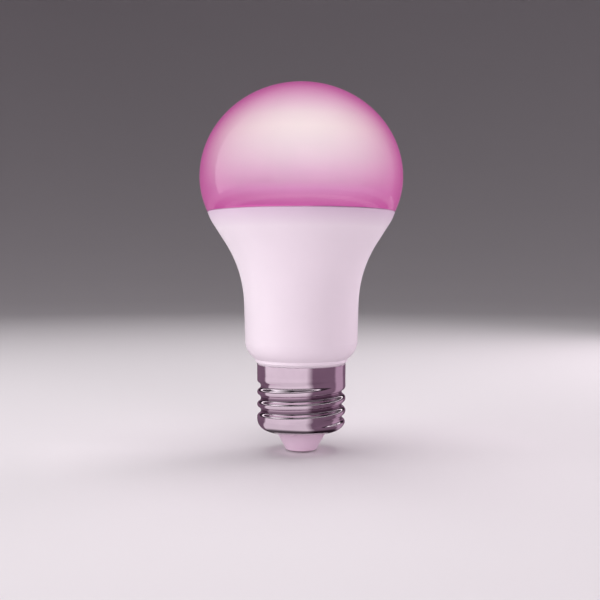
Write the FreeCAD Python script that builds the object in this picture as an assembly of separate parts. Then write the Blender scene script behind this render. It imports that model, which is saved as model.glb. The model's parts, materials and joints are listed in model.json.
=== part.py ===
import FreeCAD, Part
import math
import os

Vector = FreeCAD.Vector

# Screw-in smart light bulb, cap down. Millimetres. The origin is the centre of the
# centre contact's flat underside, and +Z runs up the bulb's axis to the top of the dome.

# --- Edison screw shell: 27 mm rounded thread, right-handed ---
cap_radius = 13.05            # thread crests and collar
thread_pitch = 3.629
thread_arc_radius = 1.025     # crests and grooves are tangent arcs of this radius
thread_crest_z = 10.15        # height of a crest on the -X side
groove_start_z = 9.05         # the groove grows from nothing here...
groove_full_z = 10.15         # ...to its full depth here
groove_fade_z = 19.0          # and near the collar it fades from here...
groove_end_z = 20.9           # ...to nothing here
shell_wall = 0.3
shell_rim_z = 6.1             # underside of the in-turned rim
shell_curl_radius = 3.5       # rounding between the thread and the rim
rim_reach = 1.2               # flat of the rim, from the end of the rounding to the opening
collar_foot_z = 22.6          # plain collar above the end of the thread
collar_step = 0.02            # how far the collar stands outside the crests
collar_lap = 0.4              # how far the thread's skin runs on inside the collar's wall
shell_top_z = 25.6

# --- Insulator and centre contact ---
contact_bevel = 1.35
contact_edge_step = 0.11      # the contact's edge, inside the tip of the insulator
contact_height = 0.55
insulator_side_gap = 0.55     # between the cone and the edge of the rim's opening
insulator_slope_deg = 28.8    # side of the cone, from the axis
insulator_wall = 1.6
insulator_flange_gap = 1.95   # between the flange and the inside of the shell
insulator_top_z = 8.2
insulator_chamfer = 0.8
insulator_well_radius = 6.6
insulator_well_depth = 3.4
stem_radius = 1.5
stem_bore_radius = 0.75
stem_bore_depth = 6.0
rivet_radius = 2.4
rivet_height = 0.5

# --- Housing: lip, shoulder, slightly leaning neck, then a flare up to the rim ---
housing_wall = 1.6
lip_z = 25.8
lip_overhang = 0.53           # how far the lip stands out past the cap
lip_chamfer = 0.65
lip_height = 1.4
shoulder_z = 32.0
shoulder_bulge = 0.66         # how far the shoulder's arc stands out from its chord
neck_radius = 16.6
neck_lean_deg = 1.45
flare_start_z = 43.4
flare_hollow_radius = 34.7    # hollow arc at the foot of the flare
flare_round_radius = 13.5     # round arc under the rim
rim_radius = 27.61
rim_z = 70.3
rim_slope_deg = 17.4          # lean of the wall where it meets the rim
rim_chamfer = 0.2
housing_floor_z = 31.0
neck_wall = 1.39              # under the deepest groove of the neck
neck_foot_gap = 0.1           # between the neck's foot and the insulator's flange
rim_wall = 1.71
dome_seat_depth = 2.6

# --- Diffuser dome: two different half ellipses that share their widest circle ---
dome_radius = 30.0
dome_widest_height = 10.4     # widest circle above the rim
dome_top_height = 27.9
dome_overhang = 0.1           # edge of the dome past the rim
dome_wall = 1.8
dome_joint_gap = 0.12
skirt_wall = 1.5
skirt_length = 2.35
skirt_bead = 0.25
skirt_root_height = 1.6

# --- Heat sink and light board ---
cup_wall = 1.0
deck_depth = 2.8              # deck below the rim
deck_thickness = 1.2
deck_hole_radius = 18.0
thermal_pad_thickness = 0.3
light_board_edge_gap = 0.65   # inside the dome's skirt
light_board_thickness = 1.6
screw_count = 3
screw_circle_radius = 20.6
screw_radius = 1.2
screw_head_radius = 2.2
screw_head_height = 1.4
screw_length = 4.6
screw_tip_gap = 0.3           # thread left free below a screw
screw_cross_arm = 1.21
screw_cross_width = 0.5
screw_cross_depth = 0.7
screw_boss_radius = 2.4
screw_boss_height = 3.6
white_led_count = 9           # of each white, set alternately around one ring
white_led_ring_radius = 17.0
white_led_length = 3.5
white_led_width = 2.8
white_led_height = 0.75
colour_led_count = 6
colour_led_ring_radius = 11.5
colour_led_side = 5.0
colour_led_height = 1.5
led_well_share = 0.4          # radius of a package's round well, of its width
led_well_depth = 0.12
led_edge_chamfer = 0.1

# --- Driver sleeve and driver board ---
sleeve_wall = 0.8
sleeve_floor_thickness = 0.9
sleeve_floor_step = 0.5       # hole in its floor, smaller than the neck's bore
rail_width = 0.9
rail_reach = 1.9
board_thickness = 1.6
board_foot_z = 12.0
board_tongue_gap = 1.2        # between the board's foot and the neck's bore
board_step_z = 35.0
board_edge_gap = 1.65         # between the board's edge and the sleeve
board_top_depth = 8.5         # top of the board below the deck

# --- Parts on the driver board ---
can_bore_gap = 1.35           # between a can and the neck's bore
input_can_length = 11.5
input_can_foot_z = 16.4
output_can_length = 10.5
output_can_foot_z = 37.5
can_lead_spacing = 3.5
can_lead_drop = 1.2
can_crimp_low = 1.2           # the crimped neck starts here, above the can's foot
can_crimp_high = 2.0
can_crimp_depth = 0.35
can_edge_chamfer = 0.3
lead_radius = 0.3
lead_bend_radius = 0.66
lead_tail = 0.8               # how far a lead reaches past the board
lead_root = 1.0               # how far a lead starts inside its part
film_length = 10.0
film_depth = 4.6
film_height = 8.0
film_foot_z = 37.0
film_lead_spacing = 7.0
film_edge_radius = 0.5
varistor_radius = 3.4
varistor_thickness = 2.6
varistor_z = 33.4
varistor_lead_spacing = 4.08
varistor_stand_off = 1.2
varistor_edge_radius = 0.9
fuse_z = 13.2
fuse_radius = 1.25
fuse_edge_radius = 0.4
fuse_length = 6.0
fuse_lead_span = 10.4
choke_foot_z = 20.4
choke_length = 7.6
choke_radius = 3.5
choke_core_radius = 1.5
choke_flange = 0.9
choke_pin_spacing = 3.2
choke_pin_rise = 0.8
choke_winding_step = 0.4      # winding, inside the edge of the flanges
choke_turns = 14
transformer_drop = 10.6       # its foot below the top of the board
transformer_height = 9.0
transformer_width = 12.0
transformer_depth = 8.6
transformer_leg = 1.8
transformer_centre_leg = 3.2
transformer_leg_depth = 4.16
transformer_pin_reach = 1.0   # pins outside the core
transformer_plate_reach = 1.8  # bobbin's foot plate outside the core
transformer_turns = 9
bobbin_wall = 0.7
winding_gap = 0.15

# --- Chips on the driver board: (width, depth, height off the board) and legs a side ---
rectifier_size = (4.8, 3.6, 1.5)
rectifier_legs = 2
rectifier_inset = 3.2         # middle of the part, from the edge of the board's tongue
rectifier_z = 31.4
driver_chip_size = (4.9, 3.9, 1.5)
driver_chip_legs = 4
driver_chip_inset = 3.2
driver_chip_z = 24.0
transistor_size = (2.8, 1.3, 1.0)
transistor_legs = 3
transistor_count = 5
transistor_pitch = 4.0
transistor_drop = 11.6        # below the top of the board
leg_width = 0.4
leg_thickness = 0.2
leg_knee = 0.35               # from the body's side to the upright of a leg
leg_foot = 1.1                # from the body's side to the tip of a foot
leg_root = 0.15
resistor_size = (1.6, 0.8, 0.5)
capacitor_size = (2.0, 1.25, 0.9)
chip_edge_radius = 0.08
row_pitch = 2.5
row_drop = 6.4                # row of resistors, below the top of the board
column_inset = 3.0            # columns of small chips, from the board's edge above its step
column_z = 40.0
column_pitch = 2.2
low_column_inset = 1.4        # a column lower down, from the edge of the board's tongue
low_column_z = 20.0
low_column_pitch = 2.6
solder_foot_radius = 0.8
solder_tip_radius = 0.42
solder_height = 0.75

# --- Radio module and connectors ---
module_width = 14.0
module_height = 21.0
module_thickness = 0.8
module_foot_depth = 2.4       # its foot below the top of the driver board
module_offset = 5.0           # face of the module board from the driver board's middle
shield_width = 10.0
shield_height = 7.2
shield_depth = 2.0
shield_sheet = 0.2
shield_edge_radius = 0.4
shield_rise = 0.8             # above the header
antenna_turns = 4
antenna_track = 0.5
antenna_copper = 0.1
antenna_span = 11.0
antenna_reach = 4.0
antenna_edge_gap = 0.8
header_pitch = 2.54
module_pin_count = 5
light_pin_count = 6
pin_side = 0.64
pin_tail = 0.8                # how far a pin reaches past a board
light_pin_lap = 2.8           # how far a light pin lies against the driver board
header_height = 2.5
socket_height = 3.0
socket_depth = 2.5

# --- Wires ---
live_wire_radius = 0.55
neutral_wire_radius = 0.35
wire_pad_inset = 1.6          # from the edge of the board's tongue
wire_pad_z = 13.6
wire_bend_radius = 1.6
live_stem_length = 4.0        # stretch of the live wire inside the contact's stem
live_rise = 1.4               # from the rivet to the live wire's first bend
wire_slant = 1.0              # how far the live wire climbs as it crosses to its pad
wire_end_rise = 1.0           # end of each wire above the middle of its pad
neutral_rise = 0.35           # between the neck's foot and the neutral wire
notch_width = 1.0

# --- Named clearances ---
press_gap = 0.02
thread_gap = 0.06
slip_gap = 0.15
hole_gap = 0.1
lay_gap = 0.05                # a part laid against a board
chip_stand_off = 0.1          # under the body of a chip with legs

# --- Sizes that follow from the ones above ---
half_pitch = thread_pitch / 2
tangent_sine = thread_pitch / 4 / thread_arc_radius
tangent_cosine = math.sqrt(1 - tangent_sine ** 2)
groove_depth = 2 * thread_arc_radius * (1 - tangent_cosine)
curl_centre_z = shell_rim_z + shell_curl_radius
curl_centre_radius = cap_radius - shell_curl_radius
collar_radius = cap_radius + collar_step
shell_opening_radius = curl_centre_radius - rim_reach
insulator_seat_z = shell_rim_z + shell_wall + lay_gap
insulator_cone_run = (insulator_seat_z - contact_height) * math.tan(math.radians(insulator_slope_deg))
insulator_tip_radius = shell_opening_radius - insulator_side_gap - insulator_cone_run
contact_radius = insulator_tip_radius - contact_edge_step
contact_face_radius = contact_radius - contact_bevel
neck_foot_z = insulator_top_z + neck_foot_gap
rim_top_z = rim_z + rim_chamfer
lip_radius = cap_radius + lip_overhang
insulator_flange_radius = cap_radius - shell_wall - insulator_flange_gap
neck_bore_radius = cap_radius - groove_depth - shell_wall - thread_gap - neck_wall
dome_seat_radius = rim_radius - rim_wall
dome_edge_z = rim_top_z + dome_joint_gap
dome_edge_radius = rim_radius + dome_overhang
dome_widest_z = rim_z + dome_widest_height
dome_edge_share = math.sqrt(1 - (dome_edge_radius / dome_radius) ** 2)
dome_lower_height = (dome_widest_z - dome_edge_z) / dome_edge_share
skirt_radius = dome_seat_radius - slip_gap
seat_floor_z = rim_top_z - dome_seat_depth
deck_top_z = rim_z - deck_depth
light_board_radius = skirt_radius - skirt_wall - light_board_edge_gap
light_board_z = deck_top_z + thermal_pad_thickness
light_board_top_z = light_board_z + light_board_thickness
sleeve_foot_z = housing_floor_z + slip_gap
half_board = board_thickness / 2
sleeve_radius = neck_radius - housing_wall - cup_wall - 2 * slip_gap - lay_gap
sleeve_floor_hole_radius = neck_bore_radius - sleeve_floor_step
board_top_z = deck_top_z - board_top_depth
board_half_width = sleeve_radius - sleeve_wall - board_edge_gap
board_tongue_half_width = neck_bore_radius - board_tongue_gap
can_radius = (neck_bore_radius - half_board - lay_gap - can_bore_gap) / 2
wire_pad_x = board_tongue_half_width - wire_pad_inset
transformer_foot_z = board_top_z - transformer_drop
module_foot_z = board_top_z - module_foot_depth
module_back_y = module_offset + module_thickness
light_pin_foot_z = board_top_z - light_pin_lap
far_y = half_board + lead_tail

SURFACE_COLUMNS = 24
ROWS_PER_PITCH = 16
BIG = 100.0


def save(name, shape):
    """Write one node."""
    shape.exportStep("parts/" + name + ".step")


def block(low, high):
    """Box between two opposite corners."""
    size = [high[i] - low[i] for i in range(3)]
    return Part.makeBox(size[0], size[1], size[2], Vector(*low))


def disc(radius, z_low, z_high, centre=(0.0, 0.0)):
    """Upright cylinder."""
    return Part.makeCylinder(radius, z_high - z_low, Vector(centre[0], centre[1], z_low))


def ring(outer, inner, z_low, z_high):
    return disc(outer, z_low, z_high).cut(disc(inner, z_low, z_high))


def across(radius, y_low, y_high, x, z):
    """Cylinder along Y, through the driver board's thickness."""
    return Part.makeCylinder(radius, y_high - y_low, Vector(x, y_low, z), Vector(0, 1, 0))


def group(shapes):
    return Part.makeCompound(shapes)


def turned(shape, angle_deg):
    """Copy of a shape, turned about the bulb's axis."""
    copy = shape.copy()
    copy.rotate(Vector(0, 0, 0), Vector(0, 0, 1), angle_deg)
    return copy


def polar(radius, angle_deg):
    angle = math.radians(angle_deg)
    return radius * math.cos(angle), radius * math.sin(angle)


def lathe_edges(edges):
    """Solid of revolution from edges in the XZ plane that close on the axis."""
    face = Part.Face(Part.Wire(edges))
    return face.revolve(Vector(0, 0, 0), Vector(0, 0, 1), 360)


def lathe(points):
    """Solid of revolution from a closed outline of (radius, z) corners."""
    corners = [Vector(r, 0, z) for r, z in points]
    return lathe_edges(Part.makePolygon(corners + corners[:1]).Edges)


def line(start, end):
    return Part.LineSegment(start, end).toShape()


def arc(start, middle, end):
    return Part.Arc(start, middle, end).toShape()


def round_wire(points, radius, bend):
    """Round wire along straight runs joined by tangent arcs of one bend radius."""
    corners = [Vector(*p) for p in points]
    edges = []
    begin = corners[0]
    for i in range(1, len(corners) - 1):
        back = (corners[i - 1] - corners[i]).normalize()
        ahead = (corners[i + 1] - corners[i]).normalize()
        turn = math.pi - back.getAngle(ahead)
        reach = bend * math.tan(turn / 2)
        enter = corners[i] + back * reach
        leave = corners[i] + ahead * reach
        inward = (back + ahead).normalize()
        middle = corners[i] + inward * (bend / math.cos(turn / 2) - bend)
        edges.append(line(begin, enter))
        edges.append(arc(enter, middle, leave))
        begin = leave
    edges.append(line(begin, corners[-1]))
    path = Part.Wire(edges)
    section = Part.Wire(Part.makeCircle(radius, corners[0], corners[1] - corners[0]))
    return path.makePipeShell([section], True, True)


# ---------------------------------------------------------------- Edison thread

def smooth_step(t):
    t = max(0.0, min(1.0, t))
    return t * t * (3 - 2 * t)


def groove_fade(z):
    """Share of the full depth that a groove has when its middle is at height z."""
    growing = smooth_step((z - groove_start_z) / (groove_full_z - groove_start_z))
    fading = smooth_step((groove_end_z - z) / (groove_end_z - groove_fade_z))
    return growing * fading


def groove_profile(distance, inset):
    """Depth of a full groove at a height from its middle, for a surface inset from the outside."""
    away = abs(distance)
    if away < (thread_arc_radius + inset) * tangent_sine:
        bottom = thread_arc_radius + inset
        return groove_depth - bottom + math.sqrt(bottom ** 2 - away ** 2)
    crest = thread_arc_radius - inset
    return crest - math.sqrt(crest ** 2 - (half_pitch - away) ** 2)


def smooth_radius(z, inset):
    """Radius of the shell without its thread: a cylinder above the rounding of the rim."""
    if z >= curl_centre_z:
        return cap_radius - inset
    rounding = shell_curl_radius - inset
    return curl_centre_radius + math.sqrt(rounding ** 2 - (curl_centre_z - z) ** 2)


def thread_radius(angle, z, inset):
    """Radius of the threaded surface at an angle and a height."""
    middle = thread_crest_z + half_pitch + thread_pitch * (angle + math.pi) / (2 * math.pi)
    middle += thread_pitch * round((z - middle) / thread_pitch)
    return smooth_radius(z, inset) - groove_fade(middle) * groove_profile(z - middle, inset)


def thread_rows(z_low, z_high, inset):
    """Rings of points up the threaded surface."""
    count = math.ceil((z_high - z_low) / thread_pitch * ROWS_PER_PITCH)
    rows = []
    for i in range(count + 1):
        z = z_low + (z_high - z_low) * i / count
        rows.append([point_on_ring(thread_radius(a, z, inset), a, z) for a in column_angles()])
    return rows


def column_angles():
    return [2 * math.pi * i / SURFACE_COLUMNS - math.pi for i in range(SURFACE_COLUMNS)]


def point_on_ring(radius, angle, z):
    return Vector(radius * math.cos(angle), radius * math.sin(angle), z)


def plain_row(radius, z):
    return [point_on_ring(radius, a, z) for a in column_angles()]


def spline_through(points, closed):
    """Cubic curve through points at equal steps of its parameter."""
    curve = Part.BSplineCurve()
    steps = len(points) + 1 if closed else len(points)
    curve.interpolate(Points=points, PeriodicFlag=closed, Parameters=[float(i) for i in range(steps)])
    return curve


def skin(rows):
    """One smooth face, closed round the axis, through rings of points."""
    rings = [spline_through(row, True) for row in rows]
    columns = [spline_through(list(poles), False) for poles in zip(*[c.getPoles() for c in rings])]
    poles = [list(row) for row in zip(*[c.getPoles() for c in columns])]
    up, around = columns[0], rings[0]
    surface = Part.BSplineSurface()
    surface.buildFromPolesMultsKnots(
        poles, up.getMultiplicities(), around.getMultiplicities(), up.getKnots(), around.getKnots(),
        False, True, up.Degree, around.Degree)
    return surface.toShape()


def boundary(face, z, radius):
    """The closed edge of a skin that lies at a height and near a radius."""
    def miss(edge):
        point = edge.valueAt(edge.FirstParameter)
        return abs(point.z - z) + abs(math.hypot(point.x, point.y) - radius)
    closed = [e for e in face.Edges if e.isClosed()]
    return min(closed, key=miss)


def solid_from(faces):
    shell = Part.makeShell(faces)
    shell.sewShape()
    solid = Part.Solid(shell)
    if solid.Volume < 0:
        solid.reverse()
    return solid


# ---------------------------------------------------------------- cap

def shell_rows(inset):
    """Rings from the rim's opening, round the curl, and up the thread to the collar's edge."""
    floor_z = shell_rim_z + inset
    rounding = shell_curl_radius - inset
    rows = []
    lip_steps = 4
    for i in range(lip_steps):
        share = i / lip_steps
        radius = shell_opening_radius + (curl_centre_radius - shell_opening_radius) * share
        rows.append(plain_row(radius, floor_z))
    curl_steps = 7
    curl_end = math.radians(50)
    for i in range(curl_steps):
        turn = curl_end * i / curl_steps
        radius = curl_centre_radius + rounding * math.sin(turn)
        rows.append(plain_row(radius, curl_centre_z - rounding * math.cos(turn)))
    thread_foot_z = curl_centre_z - rounding * math.cos(curl_end)
    return rows + thread_rows(thread_foot_z, collar_foot_z + collar_lap, inset)


def screw_shell():
    """Drawn shell: rim, rounding and thread as one skin, then the plain collar."""
    outer = skin(shell_rows(0.0))
    inner = skin(shell_rows(shell_wall))
    rim_outer = boundary(outer, shell_rim_z, shell_opening_radius)
    rim_inner = boundary(inner, shell_rim_z + shell_wall, shell_opening_radius)
    top_outer = boundary(outer, collar_foot_z + collar_lap, cap_radius)
    top_inner = boundary(inner, collar_foot_z + collar_lap, cap_radius - shell_wall)
    rim = Part.makeRuledSurface(rim_outer, rim_inner)
    top = Part.makeRuledSurface(top_outer, top_inner)
    collar = ring(collar_radius, collar_radius - shell_wall, collar_foot_z, shell_top_z)
    return solid_from([outer, inner, rim, top]).fuse(collar).removeSplitter()


def cone_radius(z):
    """Radius of the insulator's cone."""
    return insulator_tip_radius + (z - contact_height) * math.tan(math.radians(insulator_slope_deg))


def cap_insulator():
    seat_z = insulator_seat_z
    seat_radius = curl_centre_radius - lay_gap
    body = lathe([
        (0, contact_height), (insulator_tip_radius, contact_height), (cone_radius(seat_z), seat_z),
        (seat_radius, seat_z), (insulator_flange_radius, seat_z + insulator_chamfer),
        (insulator_flange_radius, insulator_top_z), (0, insulator_top_z)])
    well_floor_z = insulator_top_z - insulator_well_depth
    well_foot_radius = cone_radius(well_floor_z) - insulator_wall
    sleeve = rivet_radius + lay_gap
    well = lathe([
        (sleeve, insulator_top_z), (insulator_well_radius, insulator_top_z),
        (well_foot_radius, well_floor_z), (sleeve, well_floor_z)])
    return body.cut(well).cut(disc(stem_radius + press_gap, 0, insulator_top_z))


def centre_contact():
    top_z = insulator_top_z + rivet_height
    body = lathe([
        (0, 0), (contact_face_radius, 0), (contact_radius, contact_height),
        (stem_radius, contact_height), (stem_radius, insulator_top_z), (rivet_radius, insulator_top_z),
        (stem_bore_radius, top_z), (0, top_z)])
    return body.cut(disc(stem_bore_radius, top_z - stem_bore_depth, top_z))


# ---------------------------------------------------------------- housing and dome

def flare_edges(inset, foot_z):
    """Side of the housing from a foot height to the rim, inset from its outer face.

    A leaning line, a hollow arc, the line tangent to both arcs, then a round arc.
    """
    lean = math.radians(neck_lean_deg)
    slope = math.radians(rim_slope_deg)
    start_radius = neck_radius + (flare_start_z - shoulder_z) * math.tan(lean)
    hollow_x = start_radius + flare_hollow_radius * math.cos(lean)
    hollow_z = flare_start_z - flare_hollow_radius * math.sin(lean)
    round_x = rim_radius - flare_round_radius * math.cos(slope)
    round_z = rim_z + flare_round_radius * math.sin(slope)
    both = flare_hollow_radius + flare_round_radius
    run = math.sqrt((round_x - hollow_x) ** 2 + (round_z - hollow_z) ** 2 - both ** 2)
    tilt = math.atan2(round_x - hollow_x, round_z - hollow_z) + math.atan2(both, run)

    def on_hollow(angle):
        radius = flare_hollow_radius + inset
        return Vector(hollow_x - radius * math.cos(angle), 0, hollow_z + radius * math.sin(angle))

    def on_round(angle):
        radius = flare_round_radius - inset
        return Vector(round_x + radius * math.cos(angle), 0, round_z - radius * math.sin(angle))

    foot_radius = neck_radius + (foot_z - shoulder_z) * math.tan(lean) - inset / math.cos(lean)
    return [
        line(Vector(foot_radius, 0, foot_z), on_hollow(lean)),
        arc(on_hollow(lean), on_hollow((lean + tilt) / 2), on_hollow(tilt)),
        line(on_hollow(tilt), on_round(tilt)),
        arc(on_round(tilt), on_round((tilt + slope) / 2), on_round(slope))]


def end_points(edges):
    """First and last point of a run of edges."""
    first = edges[0].valueAt(edges[0].FirstParameter)
    last = edges[-1].valueAt(edges[-1].LastParameter)
    return first, last


def flare_solid(inset, z_low, z_high):
    """Everything inside an inset copy of the housing's side, between two heights."""
    edges = flare_edges(inset, housing_floor_z - slip_gap)
    first, last = end_points(edges)
    axis_low = Vector(0, 0, first.z)
    axis_high = Vector(0, 0, last.z)
    closed = [line(axis_low, first)] + edges + [line(last, axis_high), line(axis_high, axis_low)]
    return lathe_edges(closed).common(disc(BIG, z_low, z_high))


def housing_outside():
    """Lip, shoulder and flare as one turned solid."""
    edges = flare_edges(0.0, shoulder_z)
    first, last = end_points(edges)
    lip_low = Vector(lip_radius - lip_chamfer, 0, lip_z)
    lip_edge = Vector(lip_radius, 0, lip_z + lip_chamfer)
    lip_top = Vector(lip_radius, 0, lip_z + lip_height)
    chord = first - lip_top
    outward = Vector(chord.z, 0, -chord.x).normalize()
    bulge = (first + lip_top) * 0.5 + outward * shoulder_bulge
    rim_edge = Vector(last.x - rim_chamfer, 0, rim_top_z)
    axis_low = Vector(0, 0, lip_z)
    axis_high = Vector(0, 0, rim_top_z)
    closed = [line(axis_low, lip_low), line(lip_low, lip_edge), line(lip_edge, lip_top),
              arc(lip_top, bulge, first)]
    closed += edges
    closed += [line(last, rim_edge), line(rim_edge, axis_high), line(axis_high, axis_low)]
    return lathe_edges(closed)


def threaded_neck():
    """Solid neck whose thread follows the inside of the screw shell."""
    inset = shell_wall + thread_gap
    side = skin(thread_rows(neck_foot_z, lip_z, inset))
    foot = boundary(side, neck_foot_z, smooth_radius(neck_foot_z, inset))
    top = boundary(side, lip_z, cap_radius - inset)
    return solid_from([side, Part.Face(Part.Wire(foot)), Part.Face(Part.Wire(top))])


def wire_notch():
    """Slot through the neck's foot and groove up its outside, for the neutral wire."""
    wire_y = -wire_side_y(neutral_wire_radius)
    side = notch_width / 2
    groove_x = neutral_run_x() - neutral_wire_radius - hole_gap
    slot_top_z = neutral_cross_z() + wire_bend_radius + neutral_wire_radius
    slot = block((neck_bore_radius - 1.0, wire_y - side, neck_foot_z - 1.0),
                 (cap_radius, wire_y + side, slot_top_z))
    groove = block((groove_x, wire_y - side, neck_foot_z - 1.0),
                   (cap_radius, wire_y + side, neutral_end_z() + hole_gap))
    return slot.fuse(groove)


def bead_ring(radius, reach, z, half_height):
    """Ridge with a triangular section around a cylinder."""
    return lathe([(radius - 0.5, z - half_height), (radius, z - half_height), (radius + reach, z),
                  (radius, z + half_height), (radius - 0.5, z + half_height)])


def bead_z():
    return rim_top_z - 1.0


def housing_shell():
    body = housing_outside().fuse(threaded_neck())
    body = body.cut(flare_solid(housing_wall, housing_floor_z, rim_top_z + 1.0))
    body = body.cut(disc(neck_bore_radius, 0, rim_top_z))
    body = body.cut(disc(dome_seat_radius, seat_floor_z, rim_top_z + 1.0))
    body = body.cut(bead_ring(dome_seat_radius, skirt_bead, bead_z(), skirt_bead + hole_gap))
    return body.cut(wire_notch()).removeSplitter()


def quarter_ellipse(radius, rise):
    """Exact quarter of an ellipse, from the dome's widest circle up or down to the axis."""
    corner_weight = math.cos(math.pi / 4)
    widest = Vector(radius, 0, dome_widest_z)
    corner = Vector(radius, 0, dome_widest_z + rise)
    pole = Vector(0, 0, dome_widest_z + rise)
    curve = Part.BSplineCurve()
    curve.buildFromPolesMultsKnots(
        [widest, corner, pole], [3, 3], [0.0, 1.0], False, 2, [1.0, corner_weight, 1.0])
    return curve.toShape()


def half_oval(radius, rise):
    """Turned solid above or below the dome's widest circle."""
    edge = quarter_ellipse(radius, rise)
    widest = Vector(radius, 0, dome_widest_z)
    middle = Vector(0, 0, dome_widest_z)
    pole = Vector(0, 0, dome_widest_z + rise)
    return lathe_edges([edge, line(pole, middle), line(middle, widest)])


def oval_solid(radius, top_height, lower_height):
    """Turned solid with different half ellipses above and below its widest circle."""
    return half_oval(radius, top_height).fuse(half_oval(radius, -lower_height)).removeSplitter()


def diffuser_dome():
    outer = oval_solid(dome_radius, dome_top_height, dome_lower_height)
    inner = oval_solid(dome_radius - dome_wall, dome_top_height - dome_wall, dome_lower_height - dome_wall)
    above = disc(BIG, dome_edge_z, dome_edge_z + BIG)
    wall = outer.common(above).cut(inner)
    root_top_z = dome_edge_z + skirt_root_height
    skirt_foot_z = dome_edge_z - skirt_length
    bore_radius = skirt_radius - skirt_wall
    root = ring(dome_radius, bore_radius, dome_edge_z, root_top_z).common(outer)
    funnel = Part.makeCone(bore_radius, dome_radius - dome_wall, root_top_z - dome_edge_z,
                           Vector(0, 0, dome_edge_z))
    skirt = ring(skirt_radius, bore_radius, skirt_foot_z, dome_edge_z)
    bead = bead_ring(skirt_radius, skirt_bead, bead_z(), skirt_bead)
    return wall.fuse([root.cut(funnel), skirt, bead]).removeSplitter()


def dome_seal():
    foot_z = seat_floor_z
    top_z = dome_edge_z - skirt_length
    return ring(dome_seat_radius - lay_gap, skirt_radius - skirt_wall, foot_z, top_z)


# ---------------------------------------------------------------- heat sink and light board

def screw_places():
    return [polar(screw_circle_radius, 90 + 360 * i / screw_count) for i in range(screw_count)]


def heat_sink_cup():
    outside = housing_wall + slip_gap
    foot_z = housing_floor_z + slip_gap
    deck_low_z = deck_top_z - deck_thickness
    cup = flare_solid(outside, foot_z, deck_top_z)
    hollow = flare_solid(outside + cup_wall, foot_z, deck_low_z)
    cup = cup.cut(hollow).cut(disc(deck_hole_radius, deck_low_z, deck_top_z))
    inside = flare_solid(outside + cup_wall, deck_low_z - screw_boss_height, deck_top_z)
    for place in screw_places():
        boss = disc(screw_boss_radius, deck_low_z - screw_boss_height, deck_low_z, place).common(inside)
        cup = cup.fuse(boss)
        bottom_z = light_board_top_z - screw_length - screw_tip_gap
        cup = cup.cut(disc(screw_radius + press_gap, bottom_z, deck_top_z, place))
    return cup.removeSplitter()


def thermal_pad():
    pad = ring(light_board_radius, deck_hole_radius, deck_top_z, light_board_z)
    for place in screw_places():
        pad = pad.cut(disc(screw_radius + hole_gap, deck_top_z, light_board_z, place))
    return pad


def led_board():
    board = disc(light_board_radius, light_board_z, light_board_top_z)
    for place in screw_places():
        board = board.cut(disc(screw_radius + hole_gap, light_board_z, light_board_top_z, place))
    half = module_width / 2 + slip_gap
    slot = block((-half, module_offset - slip_gap, light_board_z),
                 (half, module_back_y + slip_gap, light_board_top_z))
    return board.cut(slot).cut(group(light_pin_blocks(hole_gap)))


def led_board_screws():
    screws = []
    for place in screw_places():
        head = disc(screw_head_radius, light_board_top_z, light_board_top_z + screw_head_height, place)
        head = head.makeFillet(screw_head_height / 2, [e for e in head.Edges if edge_is_top(e, head)])
        shank = disc(screw_radius, light_board_top_z - screw_length, light_board_top_z, place)
        top_z = light_board_top_z + screw_head_height
        low_z = top_z - screw_cross_depth
        arm = screw_cross_arm
        half = screw_cross_width / 2
        x, y = place
        cross = block((x - arm, y - half, low_z), (x + arm, y + half, top_z))
        cross = cross.fuse(block((x - half, y - arm, low_z), (x + half, y + arm, top_z)))
        screws.append(head.fuse(shank).cut(cross).removeSplitter())
    return group(screws)


def edge_is_top(edge, shape):
    return abs(edge.BoundBox.ZMin - shape.BoundBox.ZMax) < 1e-6


def led_package(length, width, height, well_radius):
    """Light-emitting package on the light board: a frame with a shallow round well."""
    top_z = light_board_top_z + height
    body = block((-length / 2, -width / 2, light_board_top_z), (length / 2, width / 2, top_z))
    body = body.makeChamfer(led_edge_chamfer, body.Edges)
    floor = Vector(0, 0, top_z - led_well_depth)
    return body.cut(Part.makeCone(well_radius - led_well_depth, well_radius, led_well_depth, floor))


def led_ring(package, count, radius, first_deg):
    package.translate(Vector(radius, 0, 0))
    return group([turned(package, first_deg + 360 * i / count) for i in range(count)])


def white_leds(offset):
    well_radius = white_led_width * led_well_share
    package = led_package(white_led_width, white_led_length, white_led_height, well_radius)
    step = 180 / white_led_count
    return led_ring(package, white_led_count, white_led_ring_radius, step * offset + step / 2)


def rgb_leds():
    well_radius = colour_led_side * led_well_share
    package = led_package(colour_led_side, colour_led_side, colour_led_height, well_radius)
    return led_ring(package, colour_led_count, colour_led_ring_radius, 0)


# ---------------------------------------------------------------- driver

def driver_sleeve():
    top_z = board_top_z
    inner = sleeve_radius - sleeve_wall
    tube = ring(sleeve_radius, inner, sleeve_foot_z, top_z)
    floor_top_z = sleeve_foot_z + sleeve_floor_thickness
    floor = ring(sleeve_radius, sleeve_floor_hole_radius, sleeve_foot_z, floor_top_z)
    rails = []
    for side in (-1, 1):
        for face in (-1, 1):
            low_x, high_x = sorted((side * (inner - rail_reach), side * sleeve_radius))
            near_y = half_board + hole_gap
            low_y, high_y = sorted((face * near_y, face * (near_y + rail_width)))
            rails.append(block((low_x, low_y, sleeve_foot_z), (high_x, high_y, top_z)))
    core = disc(sleeve_radius, sleeve_foot_z, top_z)
    rails = [rail.common(core) for rail in rails]
    return tube.fuse([floor] + rails).removeSplitter()


def can_lead_z(foot_z):
    return foot_z - can_lead_drop


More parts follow.
